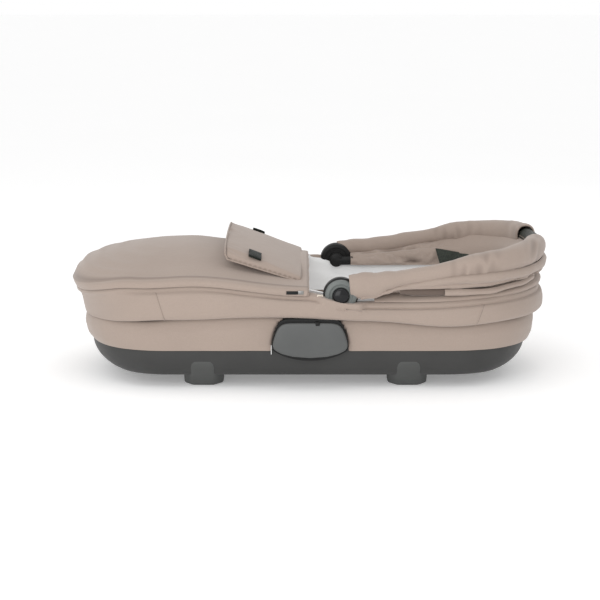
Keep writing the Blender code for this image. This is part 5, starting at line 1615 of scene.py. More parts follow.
@dataclass
class FrontGore:
    """Canopy cloth between the two bows, folded like bellows on the outside."""

    columns: int = 420
    rows: int = 46
    end_columns: int = 30

    def make(self, finishes: Finishes) -> Piece:
        """Builds the folded cloth."""
        ends = slice(self.end_columns, -self.end_columns)
        front = FRONT_BOW.line(self.columns + 2 * self.end_columns)[ends]
        rear = REAR_BOW.line(self.columns + 2 * self.end_columns)[ends]
        head = FRONT_BOW.head(front)
        _, side, lift = frame_of(front)
        top = front + side * (0.001 + 0.013 * head)[:, None] - lift * (0.018 * head)[:, None]
        _, rear_side, rear_lift = frame_of(rear)
        low = rear + rear_side * (0.006 + 0.006 * head)[:, None] + rear_lift * (0.002 + 0.002 * head)[:, None]
        share = np.linspace(0.0, 1.0, self.rows)[:, None, None]
        points = low[None] * (1 - share) + top[None] * share
        lobes = np.abs(np.sin(share[..., 0] * math.pi * 2)) ** 0.7
        wander = 0.75 + 0.25 * np.sin(np.arange(self.columns) / 37.0)[None, :]
        out = (0.004 + 0.011 * head[None, :]) * lobes * wander
        sag = (0.004 + 0.004 * head[None, :]) * np.sin(share[..., 0] * math.pi)
        points = points + side[None] * out[..., None] - lift[None] * sag[..., None]
        sheet = Sheet(points)
        ripple = 0.0018 * rumple(points, (18, 18, 60), 11.3) + 0.0006 * rumple(points, (55, 55, 90), 4.1)
        sheet = sheet.push(ripple)
        # Painted shade along the middle fold of the bellows.
        crease = np.exp(-(((share[..., 0] - 0.5) / 0.05) ** 2)) * np.ones((1, self.columns))
        area = sheet.area()
        piece = sheet.build("front_gore_cloth", finishes.taupe, HOOD_CLOTH)
        dark = (0.8 * crease).reshape(-1)
        paint_crease_shade(piece, dark)
        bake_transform(piece, Body.REAR.value, Body.FRONT.value, (0.0525, 0.0, 0.168), (0.43, 0.0, 0.235))
        weights = np.broadcast_to(ease(share[..., 0]), (self.rows, self.columns)).reshape(-1)
        set_weights(piece, weights)
        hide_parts("hood_front_gore")
        return piece


@dataclass
class RearGore:
    """Canopy cloth between the rim's zip band and the rear bow, folded flat."""

    columns: int = 420
    rows: int = 26

    def make(self, finishes: Finishes) -> list[Piece]:
        """Builds the folded cloth and the two lines of its zip band."""
        rear = REAR_BOW.line(
            self.columns + 2 * FrontGore.end_columns
        )[FrontGore.end_columns : -FrontGore.end_columns]
        head = REAR_BOW.head(rear)
        _, side, lift = frame_of(rear)
        size = ROLL_THIN + ROLL_SWELL * head
        top = rear + side * (size * 0.6)[:, None] - lift * (size * 0.8)[:, None]
        place, normal, _ = RIM.outline(1200)
        low = []
        for point in top:
            index = int(np.argmin(np.linalg.norm(place - point[:2], axis=1)))
            out = place[index] + normal[index] * 0.0075
            low.append((out[0], out[1], float(RIM.height(place[index, 0])) + 0.0085))
        low = np.array(low)
        share = np.linspace(0.0, 1.0, self.rows)[:, None, None]
        points = low[None] * (1 - share) + top[None] * share
        swell = np.sin(share[..., 0] * math.pi) ** 0.8
        points = points + side[None] * (0.007 * swell * (0.4 + 0.6 * head[None, :]))[..., None]
        sheet = Sheet(points)
        sheet = sheet.push(0.0012 * rumple(points, (20, 20, 70), 6.6))
        area = sheet.area()
        piece = sheet.build("rear_gore_cloth", finishes.taupe, HOOD_CLOTH)
        # Painted shade towards the top, under the roll of the rear bow.
        dark = (0.8 * ease((share[..., 0] - 0.8) / 0.2) * np.ones((1, self.columns))).reshape(-1)
        paint_crease_shade(piece, dark)
        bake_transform(piece, Body.RIM.value, Body.REAR.value, (0.0525, 0.0, 0.155), (0.40, 0.0, 0.175))
        set_weights(piece, np.broadcast_to(ease(share[..., 0]), (self.rows, self.columns)).reshape(-1))
        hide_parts("hood_rear_gore")
        normals = sheet.normals()
        trims = []
        for name, row, material in (("hood_zip", 1, finishes.zip), ("hood_zip_edge", 4, finishes.taupe)):
            line = sheet.points[row][8:-8]
            trims.append(ribbon(name, line, normals[row][8:-8], 0.0026, 0.0024, material))
            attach(trims[-1], Body.RIM.value)
        return [piece, *trims]


def set_weights(piece: Piece, weights: np.ndarray) -> None:
    """Stores how far each point of a blended piece follows its second body."""
    store(piece, "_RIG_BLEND", weights)


@dataclass
class Hood:
    """The folded hood: handle sleeves, grip, roll and the cloth between the bows."""

    def make(self, finishes: Finishes) -> list[Piece]:
        """Builds every cloth piece of the hood."""
        made = [
            HandleSleeve("near", NEAR_SLEEVE, 0.067).make(finishes),
            HandleSleeve("far", FAR_SLEEVE, 0.064, -0.7).make(finishes),
            RearRoll().make(finishes),
            FrontGore().make(finishes),
        ]
        made += Grip().make(finishes)
        made += RearGore().make(finishes)
        return made


def inflate(
    piece: Piece,
    pressure: float,
    voxel: float,
    cap: float,
    frames: int = 16,
    pinned: Optional[Sequence[int]] = None,
) -> None:
    """Fills a closed cloth cover by a short cloth simulation.

    Args:
        piece: The closed cover; its mesh is replaced by the filled one.
        pressure: Pressure inside it.
        voxel: Size of the remeshed faces, in metres, or 0 to keep the cover's own.
        cap: Furthest that any point may move.
        frames: Length of the simulation.
        pinned: The vertices on the seam, which stay where they are.
    """
    select_only(piece)
    if voxel:
        remesh = piece.modifiers.new("even faces", "REMESH")
        remesh.mode = "VOXEL"
        remesh.voxel_size = voxel
        apply_modifier(piece, remesh.name)
    before = points_of(piece)
    cloth = piece.modifiers.new("filling", "CLOTH")
    cloth.settings.quality = 4
    if pinned is not None:
        seam = piece.vertex_groups.new(name="seam")
        seam.add([int(number) for number in pinned], 1.0, "REPLACE")
        cloth.settings.vertex_group_mass = seam.name
    cloth.settings.mass = 0.2
    cloth.settings.tension_stiffness = 18.0
    cloth.settings.compression_stiffness = 9.0
    cloth.settings.bending_stiffness = 1.5
    cloth.settings.use_pressure = True
    cloth.settings.uniform_pressure_force = pressure
    cloth.settings.effector_weights.gravity = 0.0
    cloth.collision_settings.use_collision = False
    cloth.point_cache.frame_start = 1
    cloth.point_cache.frame_end = frames
    scene = bpy.context.scene
    for number in range(1, frames + 1):
        scene.frame_set(number)
    apply_modifier(piece, cloth.name)
    scene.frame_set(1)
    moved = points_of(piece) - before
    length = np.linalg.norm(moved, axis=1, keepdims=True)
    moved *= np.minimum(1.0, cap / np.maximum(length, 1e-9))
    move_points(piece, before + moved)
    smooth = piece.modifiers.new("soft skin", "SUBSURF")
    smooth.levels = 1
    apply_modifier(piece, smooth.name)
    smooth_faces(piece)


@dataclass
class WindFlap:
    """The padded wind flap, folded back over the apron, with its two tabs.

    Attributes:
        root_x: Where it is sewn on.
        length: From there to its free edge.
        half: Half its width.
        tilt: Slope of the folded flap, in degrees.
        edge: Height of its side edges where it is sewn on.
        root_arch: Height of the arch there.
        arch: Height of the arch at the free edge.
        depth: Thickness of the padding.
    """

    root_x: float = -0.0135
    length: float = 0.140
    half: float = 0.168
    tilt: float = 17.0
    edge: float = 0.1852
    root_arch: float = 0.016
    arch: float = 0.029
    depth: float = 0.0165
    columns: int = 40
    rows: int = 64

    def point(self, share: float, angle: float) -> np.ndarray:
        """A point of the upper face, at a share of the length and an angle round the arch."""
        slope = math.radians(self.tilt)
        arch = self.root_arch + (self.arch - self.root_arch) * share
        rise = arch * max(0.0, math.sin(angle)) ** 0.50
        waist = 1.0 - 0.035 * share
        return np.array(
            [
                self.root_x - self.length * math.cos(slope) * share,
                -self.half * waist * math.cos(angle),
                self.edge + self.length * math.sin(slope) * share + rise,
            ]
        )

    def cover(self) -> Sheet:
        """The flat-stitched cover before it is filled."""
        rings = []
        for share in np.linspace(0.0, 1.0, self.columns):
            swell = math.sin(math.pi * share**1.6) ** 0.8 if 0 < share < 1 else 0.0
            depth = 0.0035 + (self.depth - 0.0035) * swell
            top, under = [], []
            for step in range(self.rows + 1):
                angle = math.pi * step / self.rows
                place = self.point(share, angle)
                full = max(0.0, math.sin(angle)) ** 0.35
                top.append(place)
                under.append(place - np.array([0.0, 0.0, 0.001 + depth * full]))
            rings.append(np.array(top + under[::-1] + top[:1]))
        return Sheet(np.stack(rings, axis=1)[::-1])

    def edge_line(self) -> np.ndarray:
        """The seam round the flap's three free edges."""
        near = [self.point(share, 0.0) for share in np.linspace(0.04, 0.97, 30)]
        end = [self.point(1.0, angle) for angle in np.linspace(0.08, math.pi - 0.08, 60)]
        far = [self.point(share, math.pi) for share in np.linspace(0.97, 0.04, 30)]
        return np.array(near + end + far) - np.array([0.0, 0.0, 0.0012])

    def tab(self, side: float, name: str, finishes: Finishes) -> Piece:
        """One soft tab over its magnet, near a side edge."""
        share, angle = 0.62, 0.155 * math.pi
        centre = self.point(share, angle)
        down = self.point(share, angle - 0.12) - self.point(share, angle + 0.12)
        down /= np.linalg.norm(down)
        run = self.point(share + 0.05, angle) - self.point(share - 0.05, angle)
        run /= np.linalg.norm(run)
        out = np.cross(run, down)
        out = out if out[2] > 0 else -out
        bpy.ops.mesh.primitive_cube_add(size=1.0)
        piece = bpy.context.object
        piece.name = f"magnet_tab_{name}"
        with editing(piece):
            bpy.ops.mesh.subdivide(number_cuts=7)
        flat = points_of(piece) * (0.0230, 0.0310, 0.0034)
        bulge = (1 - (flat[:, 0] / 0.0115) ** 4) * (1 - (flat[:, 1] / 0.0155) ** 4)
        flat[:, 2] += np.sign(flat[:, 2]) * 0.0009 * bulge
        place = centre + run * flat[:, :1] + down * flat[:, 1:2] + out * (flat[:, 2:] + 0.0024)
        place[:, 1] *= 1.0 if side < 0 else -1.0
        move_points(piece, place)
        if side > 0:
            piece.data.flip_normals()
        bevel = piece.modifiers.new("soft edge", "BEVEL")
        bevel.width = 0.0009
        bevel.segments = 2
        bevel.limit_method = "ANGLE"
        apply_modifier(piece, bevel.name)
        face_out(piece)
        piece.data.materials.append(finishes.tab)
        smooth_faces(piece)
        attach(piece, Body.FLAP.value)
        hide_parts(f"flap_magnet_{name}")
        return piece

    def make(self, finishes: Finishes) -> list[Piece]:
        """Builds the flap, its seam and its tabs."""
        cover = self.cover().build("wind_flap_pad", finishes.taupe)
        close_ends(cover)
        start = points_of(cover)
        line = self.edge_line()
        gap = np.min(np.linalg.norm(start[:, None, :] - line[None, ::3, :], axis=2), axis=1)
        sewn = np.flatnonzero((gap < 0.0035) | (start[:, 0] > self.root_x - 0.002))
        inflate(cover, 14.0, 0.0, 0.008, pinned=sewn)
        points = points_of(cover)
        crush = 0.0007 * rumple(points, (24, 10, 24), 6.7) + 0.0003 * rumple(points, (70, 50, 70), 3.9)
        move_points(cover, points + normals_of(cover) * crush[:, None])
        gap = np.min(np.linalg.norm(points[:, None, :] - line[None, ::2, :], axis=2), axis=1)
        # Painted shade in the dip beside the piped edge.
        paint_crease_shade(cover, 0.6 * np.exp(-(((gap - 0.0026) / 0.0016) ** 2)))
        seam = ribbon("wind_flap_piping", line, (0.0, 0.0, 1.0), 0.0026, 0.0026, finishes.taupe)
        for piece in (cover, seam):
            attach(piece, Body.FLAP.value)
        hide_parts("wind_flap")
        return [cover, seam, self.tab(-1.0, "near", finishes), self.tab(1.0, "far", finishes)]


def normals_of(piece: Piece) -> np.ndarray:
    """A piece's vertex normals as an array."""
    found = np.empty(len(piece.data.vertices) * 3, np.float32)
    piece.data.vertex_normals.foreach_get("vector", found)
    return found.reshape(-1, 3).astype(float)


def face_out(piece: Piece) -> None:
    """Turns every face of a closed piece outwards."""
    with editing(piece):
        bpy.ops.mesh.normals_make_consistent(inside=False)


@dataclass
class Mattress:
    """The foam mattress in its cotton cover, with piped edges."""

    bottom: float = 0.0466
    top: float = 0.0866
    inset: float = 0.0135
    crown: float = 0.005

    def ring(self, inset: float, height: float, count: int = 300) -> np.ndarray:
        """A closed outline of the mattress at a height."""
        place, normal, _ = RIM.outline(count)
        slope = (0.1025 - height) * RIM.mix(normal, 0.22, 0.42, 0.42)
        base = RIM.mix(normal, 0.0145, 0.0320, 0.0240)
        ring = place - normal * (base + slope + inset)[:, None]
        return np.concatenate([ring, np.full((count, 1), height)], axis=1)

    def make(self, finishes: Finishes) -> list[Piece]:
        """Builds the mattress and its piping."""
        rows = [self.ring(0.012, self.bottom), self.ring(0.004, self.bottom + 0.003)]
        for share in (0.3, 0.6):
            rows.append(self.ring(0.0045, self.bottom + share * (self.top - self.bottom)))
        rows += [self.ring(0.003, self.top - 0.006), self.ring(0.008, self.top)]
        edge = rows[-1]
        target = np.stack([np.clip(edge[:, 0], -0.22, 0.22), edge[:, 1] * 0], axis=1)
        for share in np.linspace(0.0, 1.0, 14)[1:]:
            flat = edge[:, :2] * (1 - share) + target * share
            height = self.top + self.crown * (1 - (1 - share) ** 2)
            rows.append(np.concatenate([flat, np.full((len(edge), 1), height)], axis=1))
        sheet = Sheet(np.stack(rows[::-1], axis=0), ring=True)
        piece = sheet.build("mattress_cover", finishes.white)
        close_ends(piece)
        inflate(piece, 2.0, 0.0065, 0.003)
        points = points_of(piece)
        soft = 0.0008 * rumple(points, (20, 20, 20), 2.6)
        move_points(piece, points + normals_of(piece) * soft[:, None])
        paint_crease_shade(piece)
        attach(piece, Body.BASE.value)
        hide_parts("mattress")
        line = self.ring(0.0035, self.top - 0.0035, 260)
        piping = ribbon("mattress_piping", line, (0.0, 0.0, 1.0), 0.0036, 0.0036, finishes.white, closed=True)
        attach(piping, Body.BASE.value)
        return [piece, piping]


def weld(piece: Piece, distance: float = 0.0002) -> None:
    """Merges the points that lie on each other, such as a tube's first and last rows."""
    with editing(piece):
        bpy.ops.mesh.remove_doubles(threshold=distance)


def rounded(piece: Piece, width: float, segments: int = 3) -> None:
    """Rounds a piece's sharp edges with an applied bevel."""
    bevel = piece.modifiers.new("rounding", "BEVEL")
    bevel.width = width
    bevel.segments = segments
    bevel.limit_method = "ANGLE"
    apply_modifier(piece, bevel.name)


def turned(
    name: str,
    profile: Sequence[tuple[float, float]],
    x: float,
    z: float,
    side: float,
    material: Material,
    steps: int = 72,
) -> Piece:
    """A turned piece on a cross axis, spun from its profile.

    Args:
        name: The piece's name.
        profile: Radius and distance from the middle plane, point by point.
        x: The axis's place along X.
        z: The axis's height.
        side: -1 for the near side, 1 for the far one.
        material: Its finish.
        steps: Facets round it.

    Returns:
        The piece.
    """
    mesh = bpy.data.meshes.new(name)
    places = [(x + radius, out * side, z) for radius, out in profile]
    mesh.from_pydata(places, [(n, n + 1) for n in range(len(places) - 1)], [])
    piece = bpy.data.objects.new(name, mesh)
    bpy.context.scene.collection.objects.link(piece)
    with editing(piece):
        bpy.ops.mesh.spin(
            steps=steps, angle=2 * math.pi, center=(x, 0.0, z), axis=(0.0, 1.0, 0.0), use_auto_merge=True
        )
        bpy.ops.mesh.select_all(action="SELECT")
        bpy.ops.mesh.remove_doubles(threshold=0.00005)
        bpy.ops.mesh.normals_make_consistent(inside=False)
    piece.data.materials.append(material)
    bpy.ops.object.shade_smooth_by_angle(angle=math.radians(35))
    return piece


def block(
    name: str, centre: Sequence[float], size: Sequence[float], bevel: float, material: Material
) -> Piece:
    """A small moulded block with rounded edges."""
    bpy.ops.mesh.primitive_cube_add(size=1.0)
    piece = bpy.context.object
    piece.name = name
    places = points_of(piece) * np.asarray(size) + np.asarray(centre)
    move_points(piece, places)
    rounded(piece, bevel)
    face_out(piece)
    piece.data.materials.append(material)
    bpy.ops.object.shade_smooth_by_angle(angle=math.radians(40))
    return piece


@dataclass
class Hub:
    """One hinge hub of the hood: housing, disc and button, with the rear bow's arm inside."""

    side: float
    name: str
    x: float = 0.0525
    z: float = 0.168
    housing: tuple = (
        (0.0, 0.1852),
        (0.0120, 0.1852),
        (0.0128, 0.1846),
        (0.0150, 0.1846),
        (0.0158, 0.1856),
        (0.0215, 0.1856),
        (0.0224, 0.1847),
        (0.0258, 0.1847),
        (0.0285, 0.1862),
        (0.0302, 0.1900),
        (0.0306, 0.1990),
        (0.0298, 0.2026),
        (0.0280, 0.2036),
        (0.0, 0.2036),
    )
    disc: tuple = (
        (0.0, 0.2040),
        (0.0262, 0.2040),
        (0.0274, 0.2056),
        (0.0275, 0.2092),
        (0.0266, 0.2114),
        (0.0244, 0.2124),
        (0.0206, 0.2127),
        (0.0194, 0.2116),
        (0.0176, 0.2112),
        (0.0164, 0.2122),
        (0.0156, 0.2124),
        (0.0150, 0.2116),
        (0.0150, 0.2090),
        (0.0, 0.2090),
    )
    button: tuple = (
        (0.0, 0.2096),
        (0.0140, 0.2096),
        (0.0142, 0.2136),
        (0.0132, 0.2156),
        (0.0108, 0.2172),
        (0.0072, 0.2181),
        (0.0034, 0.2185),
        (0.0, 0.2186),
    )

    def make(self, finishes: Finishes) -> list[Piece]:
        """Builds the hub."""
        table = (
            ("housing", self.housing, finishes.black, Body.RIM.value, Slot.BLACK),
            ("disc", self.disc, finishes.satin, Body.FRONT.value, Slot.GREY),
            ("button", self.button, finishes.gloss, f"hub_button_{self.name}", Slot.GLOSS),
        )
        made = []
        for label, profile, material, body, slot in table:
            piece = turned(f"hub_{label}_turned_{self.name}", profile, self.x, self.z, self.side, material)
            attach(piece, body)
            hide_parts(f"{'handle_hub' if label == 'disc' else 'hub_' + label}_{self.name}")
            made.append(piece)
        inner = 0.1764 * self.side
        arm = block(
            f"hub_arm_{self.name}", (0.0800, inner, 0.1668), (0.062, 0.0135, 0.0165), 0.0055, finishes.black
        )
        ring = (
            (0.0, 0.1700),
            (0.0105, 0.1700),
            (0.0128, 0.1716),
            (0.0132, 0.1760),
            (0.0132, 0.1840),
            (0.0, 0.1840),
        )
        nose = turned(f"hub_eye_{self.name}", ring, self.x, self.z, self.side, finishes.black, 56)
        dot = ((0.0, 0.1684), (0.0022, 0.1686), (0.0033, 0.1692), (0.0034, 0.1702), (0.0, 0.1702))
        rivet = turned(f"hub_rivet_{self.name}", dot, 0.0958, 0.1694, self.side, finishes.white, 28)
        for piece in (arm, nose, rivet):
            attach(piece, Body.REAR.value)
        strap = block(
            f"strap_end_{self.name}",
            (0.066, 0.1880 * self.side, 0.1590),
            (0.012, 0.004, 0.0032),
            0.001,
            finishes.black,
        )
        tab = block(
            f"cream_tab_{self.name}",
            (0.0170, 0.2085 * self.side, 0.1655),
            (0.0105, 0.0016, 0.0085),
            0.0005,
            finishes.cream,
        )
        for piece in (strap, tab):
            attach(piece, Body.RIM.value)
        return [*made, arm, nose, rivet, strap, tab]


@dataclass
class Bracket:
    """One side bracket as seen: a black shroud, the grey cover that is the release paddle, and its catch."""

    side: float
    name: str
    outline: tuple = (
        (0.0, 0.1210),
        (0.0300, 0.1210),
        (0.0425, 0.1203),
        (0.0505, 0.1172),
        (0.0560, 0.1105),
        (0.0600, 0.1010),
        (0.0630, 0.0910),
        (0.0648, 0.0820),
        (0.0640, 0.0775),
        (0.0590, 0.0722),
        (0.0480, 0.0668),
        (0.0300, 0.0622),
        (0.0, 0.0598),
    )

    def loop(self, grow: float, top: float = 0.0, count: int = 160) -> np.ndarray:
        """The cover's outline in X and Z, grown outwards by a margin and more at its top."""
        keys = np.array([(x, z) for x, z in self.outline])
        keys = np.concatenate([keys, keys[-2:0:-1] * (-1, 1)])
        line = evenly(np.concatenate([keys, keys[:1]]), count, endpoint=False)
        for _ in range(3):
            line = (np.roll(line, 1, axis=0) + 2 * line + np.roll(line, -1, axis=0)) / 4
        way = np.roll(line, -1, axis=0) - np.roll(line, 1, axis=0)
        way = unit(way)
        away = np.stack([-way[:, 1], way[:, 0]], axis=1)
        line = line + away * grow
        return line + np.stack([np.zeros(count), top * ease((away[:, 1] - 0.3) / 0.5)], axis=1)

    def shell(self, name: str, rings: list, material: Material) -> Piece:
        """A plate lofted through grown outlines, each at a distance from the middle plane."""
        rows = []
        for grow, top, out in rings:
            loop = self.loop(grow, top)
            rows.append(np.stack([loop[:, 0], np.full(len(loop), out * self.side), loop[:, 1]], axis=1))
        middle = np.array([0.0, 0.0, 0.091])
        for shrink in (0.66, 0.33, 0.02):
            base = rows[len(rings) - 1]
            flat = middle + (base - middle) * shrink
            flat[:, 1] = base[:, 1] + self.side * 0.0007 * (1 - shrink**2)
            rows.append(flat)
        piece = Sheet(np.stack(rows, axis=0), ring=True).build(name, material)
        close_ends(piece)
        face_out(piece)
        return piece

    def make(self, finishes: Finishes) -> list[Piece]:
        """Builds the cover, its shroud, the catch and the white strip beside it, a painted highlight on the
        recess's edge.
        """
        cover = self.shell(
            f"bracket_cover_{self.name}",
            [(-0.0010, 0.0, 0.2118), (0.0, 0.0, 0.2124), (0.0, 0.0, 0.2140), (-0.0006, 0.0, 0.2152)]
            + [(-0.0018, 0.0, 0.2160), (-0.0036, 0.0, 0.2164)],
            finishes.grey,
        )
        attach(cover, f"release_paddle_{self.name}")
        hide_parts(f"release_paddle_{self.name}")
        # The shroud, grown taller at its top, fills the dark gap under the band's fold: partly the housing's
        # own black rim, partly painted shade.
        shroud = self.shell(
            f"bracket_shroud_{self.name}",
            [
                (0.0006, 0.0040, 0.1990),
                (0.0016, 0.0052, 0.1996),
                (0.0018, 0.0056, 0.2098),
                (0.0010, 0.0050, 0.2108),
            ]
            + [(-0.0020, 0.0, 0.2111)],
            finishes.black,
        )
        notch = block(
            f"bracket_catch_{self.name}",
            (0.0128, 0.2136 * self.side, 0.1200),
            (0.0072, 0.0080, 0.0066),
            0.0012,
            finishes.black,
        )
        # A white strip: a painted highlight on the edge of the recess beside the cover.
        strip = block(
            f"bracket_strip_{self.name}",
            (-0.0672, 0.2000 * self.side, 0.0715),
            (0.0012, 0.0030, 0.0160),
            0.0004,
            finishes.white,
        )
        for piece in (shroud, notch, strip):
            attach(piece, Body.BASE.value)
        return [cover, shroud, notch, strip]


@dataclass
class Tub:
    """The moulded tub's smooth outside with its round lower edge, ribs and four feet."""

    top: float = 0.0712
    bottom: float = 0.0200
    power: float = 2.3
    foot_centres: tuple = (-0.1870, 0.1712)
    spine: float = 0.20
    wall: float = 0.0026
    rib_reach: float = 0.21
    rib: tuple = (0.008, 0.24, 0.0036)
    foot_half: float = 0.0345
    foot_face: float = 0.0175
    foot_root: float = 0.118

    def ring(self, z: float, extra: float, count: int) -> np.ndarray:
        """The outline at a height."""
        place, normal, _ = RIM.outline(count)
        share = min(1.0, (self.top - z) / (self.top - self.bottom))
        round_share = 1 - (1 - share**self.power) ** (1 / self.power)
        edge = RIM.mix(normal, 0.0016, -0.0200, -0.0140)
        inset = RIM.mix(normal, 0.030, 0.066, 0.066) * round_share + extra
        flat = place + normal * (edge - inset)[:, None]
        return np.concatenate([flat, np.full((count, 1), z)], axis=1)

    def make(self, finishes: Finishes) -> list[Piece]:
        """Builds the tub and its feet."""
        count = 360
        steps = 1 - np.linspace(0.0, 1.0, 26)
        heights = self.bottom + (self.top - self.bottom) * np.sin(steps * math.pi / 2)
        rows = [self.ring(float(z), 0.0, count) for z in heights]
        edge = rows[-1]
        target = np.stack([np.clip(edge[:, 0], -self.spine, self.spine), edge[:, 1] * 0], axis=1)
        for share in np.linspace(0.0, 1.0, 12)[1:]:
            flat = edge[:, :2] * (1 - share) + target * share
            rows.append(np.concatenate([flat, np.full((count, 1), self.bottom)], axis=1))
        tub = Sheet(np.stack(rows, axis=0), ring=True).build("tub_skin", finishes.tub, self.wall)
        weld(tub, 0.0001)
        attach(tub, Body.BASE.value)
        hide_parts("tub_shell")
        made = [tub]
        for number, x in enumerate(np.linspace(-self.rib_reach, self.rib_reach, 5)):
            made.append(
                block(f"tub_rib_{number}", (x, 0.0, 0.0192), self.rib, 0.0012, finishes.tub)
            )
            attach(made[-1], Body.BASE.value)
        for centre, end in zip(self.foot_centres, ("foot", "head")):
            for side, name in ((-1.0, "near"), (1.0, "far")):
                made.append(self.foot(centre, side, f"{end}_{name}", finishes))
        return made

    def foot(self, x: float, side: float, name: str, finishes: Finishes) -> Piece:
        """One moulded foot: a flat face with slanting flanks and round lower edges."""
        rows = []
        for z, outer, shrink in (
            (0.0, 0.1605, 0.0045),
            (0.0012, 0.1640, 0.0016),
            (0.0040, 0.1668, 0.0),
            (0.0120, 0.1725, 0.0),
            (0.0200, 0.1790, 0.0),
            (0.0300, 0.1882, 0.0),
            (0.0370, 0.1925, 0.0005),
            (0.0440, 0.1950, 0.0022),
            (0.0490, 0.1948, 0.0060),
            (0.0520, 0.1925, 0.0120),
        ):
            half, face = self.foot_half - shrink, self.foot_face - shrink * 0.5
            keys = np.array(
                [
                    (-half, self.foot_root),
                    (-half, outer - 0.020),
                    (-half + 0.004, outer - 0.0135),
                    (-face - 0.003, outer - 0.0012),
                ]
                + [
                    (-face, outer),
                    (face, outer),
                    (face + 0.003, outer - 0.0012),
                    (half - 0.004, outer - 0.0135),
                ]
                + [(half, outer - 0.020), (half, self.foot_root)]
            )
            line = evenly(keys, 64)
            line[1:-1] = (line[:-2] + 2 * line[1:-1] + line[2:]) / 4
            rows.append(np.stack([x + line[:, 0], line[:, 1] * side, np.full(64, z)], axis=1))
        piece = Sheet(np.stack(rows, axis=0), ring=True).build(f"moulded_foot_{name}", finishes.feet)
        close_ends(piece)
        face_out(piece)
        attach(piece, Body.BASE.value)
        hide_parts(f"foot_{name}")
        return piece


@dataclass
class ZipEnd:
    """The zip's metal slider and its black pull, at the apron's corner."""

    side: float
    name: str

    def make(self, finishes: Finishes) -> list[Piece]:
        """Builds the slider and the pull."""
        out = 0.2112 * self.side
        body = block(
            f"zip_body_{self.name}", (-0.0160, out, 0.1738), (0.0100, 0.0026, 0.0066), 0.0010, finishes.zinc
        )
        bridge = block(
            f"zip_bridge_{self.name}",
            (-0.0166, 0.2132 * self.side, 0.1738),
            (0.0062, 0.0016, 0.0024),
            0.0007,
            finishes.zinc,
        )
        pull = block(
            f"zip_tab_{self.name}",
            (-0.0310, 0.2122 * self.side, 0.1736),
            (0.0200, 0.0015, 0.0060),
            0.0007,
            finishes.black,
        )
        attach(body, Body.RIM.value)
        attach(bridge, Body.RIM.value)
        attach(pull, f"zip_pull_{self.name}")
        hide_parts(f"zip_slider_{self.name}")
        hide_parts(f"zip_pull_{self.name}")
        return [body, bridge, pull]


@dataclass
class Canopy:
    """The hood's inner cloth, crumpled between the bows, with its mesh windows."""

    start_x: float = 0.080
    columns: int = 460
    rows: int = 40
    high_in: float = 0.010
    low_in: float = 0.036
    belly: float = 0.009
    top: tuple = (
        (0.078, 0.1790), (0.156, 0.1880), (0.230, 0.1995), (0.280, 0.2115), (0.325, 0.2250), (0.45, 0.2290)
    )
    low: tuple = (
        (0.078, 0.1600), (0.230, 0.1602), (0.270, 0.1632), (0.310, 0.1700), (0.360, 0.1850), (0.41, 0.1960)
    )

    def make(self, finishes: Finishes) -> list[Piece]:
        """Builds the inner cloth and the windows."""
        line = FRONT_BOW.line(1800)
        line = line[line[:, 0] >= self.start_x]
        line = line[np.linspace(0, len(line) - 1, self.columns).astype(int)]
        _, side, _ = frame_of(line)
        x = line[:, 0]
        high = np.stack([*(line - side * self.high_in)[:, :2].T, along(self.top, x)], axis=1)
        deep = np.stack([*(line - side * self.low_in)[:, :2].T, along(self.low, x)], axis=1)
        share = np.linspace(0.0, 1.0, self.rows)[:, None, None]
        points = deep[None] * (1 - share) + high[None] * share
        points = points - side[None] * (self.belly * np.sin(share * math.pi))
        crumple = 1 - ease((points[..., 0] - 0.235) / 0.04)
        edge = ease(share[..., 0] * 6) * ease((1 - share[..., 0]) * 6)
        ridges = rumple(points, (26, 26, 46), 2.4, ridged=True) - 0.5
        fine = rumple(points, (60, 60, 80), 5.8, ridged=True) - 0.5
        soft = rumple(points, (10, 10, 24), 7.1)
        amount = edge * (crumple * (0.0075 * ridges + 0.0028 * fine) + 0.0022 * soft)
        sheet = Sheet(points[:, ::-1]).push(-amount[:, ::-1])
        area = sheet.area()
        piece = sheet.build("canopy_cloth", finishes.taupe, 0.0012)
        # Painted shade in the hollows between the crumpled ridges.
        dark = (0.75 * crumple * np.clip(0.15 - ridges, 0, 1) * edge)[:, ::-1].reshape(-1)
        paint_crease_shade(piece, dark)
        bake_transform(piece, Body.REAR.value, Body.FRONT.value, (0.0525, 0.0, 0.160), (0.43, 0.0, 0.225))
        set_weights(piece, np.broadcast_to(ease(share[..., 0]), (self.rows, self.columns)).reshape(-1))
        return [piece, self.window(-1.0, "near", finishes), self.window(1.0, "far", finishes)]

    def window(self, side: float, name: str, finishes: Finishes) -> Piece:
        """One mesh window, folded to a slanting strip."""
        line = FRONT_BOW.line(1800)
        line = line[line[:, 1] > 0.02]
        order = np.argsort(line[:, 0])
        corner = ((0.2424, 0.1928), (0.3010, 0.1836), (0.2509, 0.1630), (0.3176, 0.1775))
        grid = []
        for row in np.linspace(0.0, 1.0, 16):
            ring = []
            for column in np.linspace(0.0, 1.0, 36):
                upper = np.array(corner[0]) * (1 - column) + np.array(corner[1]) * column
                lower = np.array(corner[2]) * (1 - column) + np.array(corner[3]) * column
                x, z = upper * (1 - row) + lower * row
                y = float(np.interp(x, line[order, 0], line[order, 1])) - 0.0385 - 0.006 * row
                y += 0.0012 * math.sin(column * 9 + row * 5)
                ring.append((x, y * side, z))
            grid.append(ring)
        points = np.array(grid)
        if side > 0:
            points = points[:, ::-1]
        piece = Sheet(points).build(f"mesh_window_{name}", finishes.mesh, 0.0006)
        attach(piece, Body.FRONT.value)
        return piece


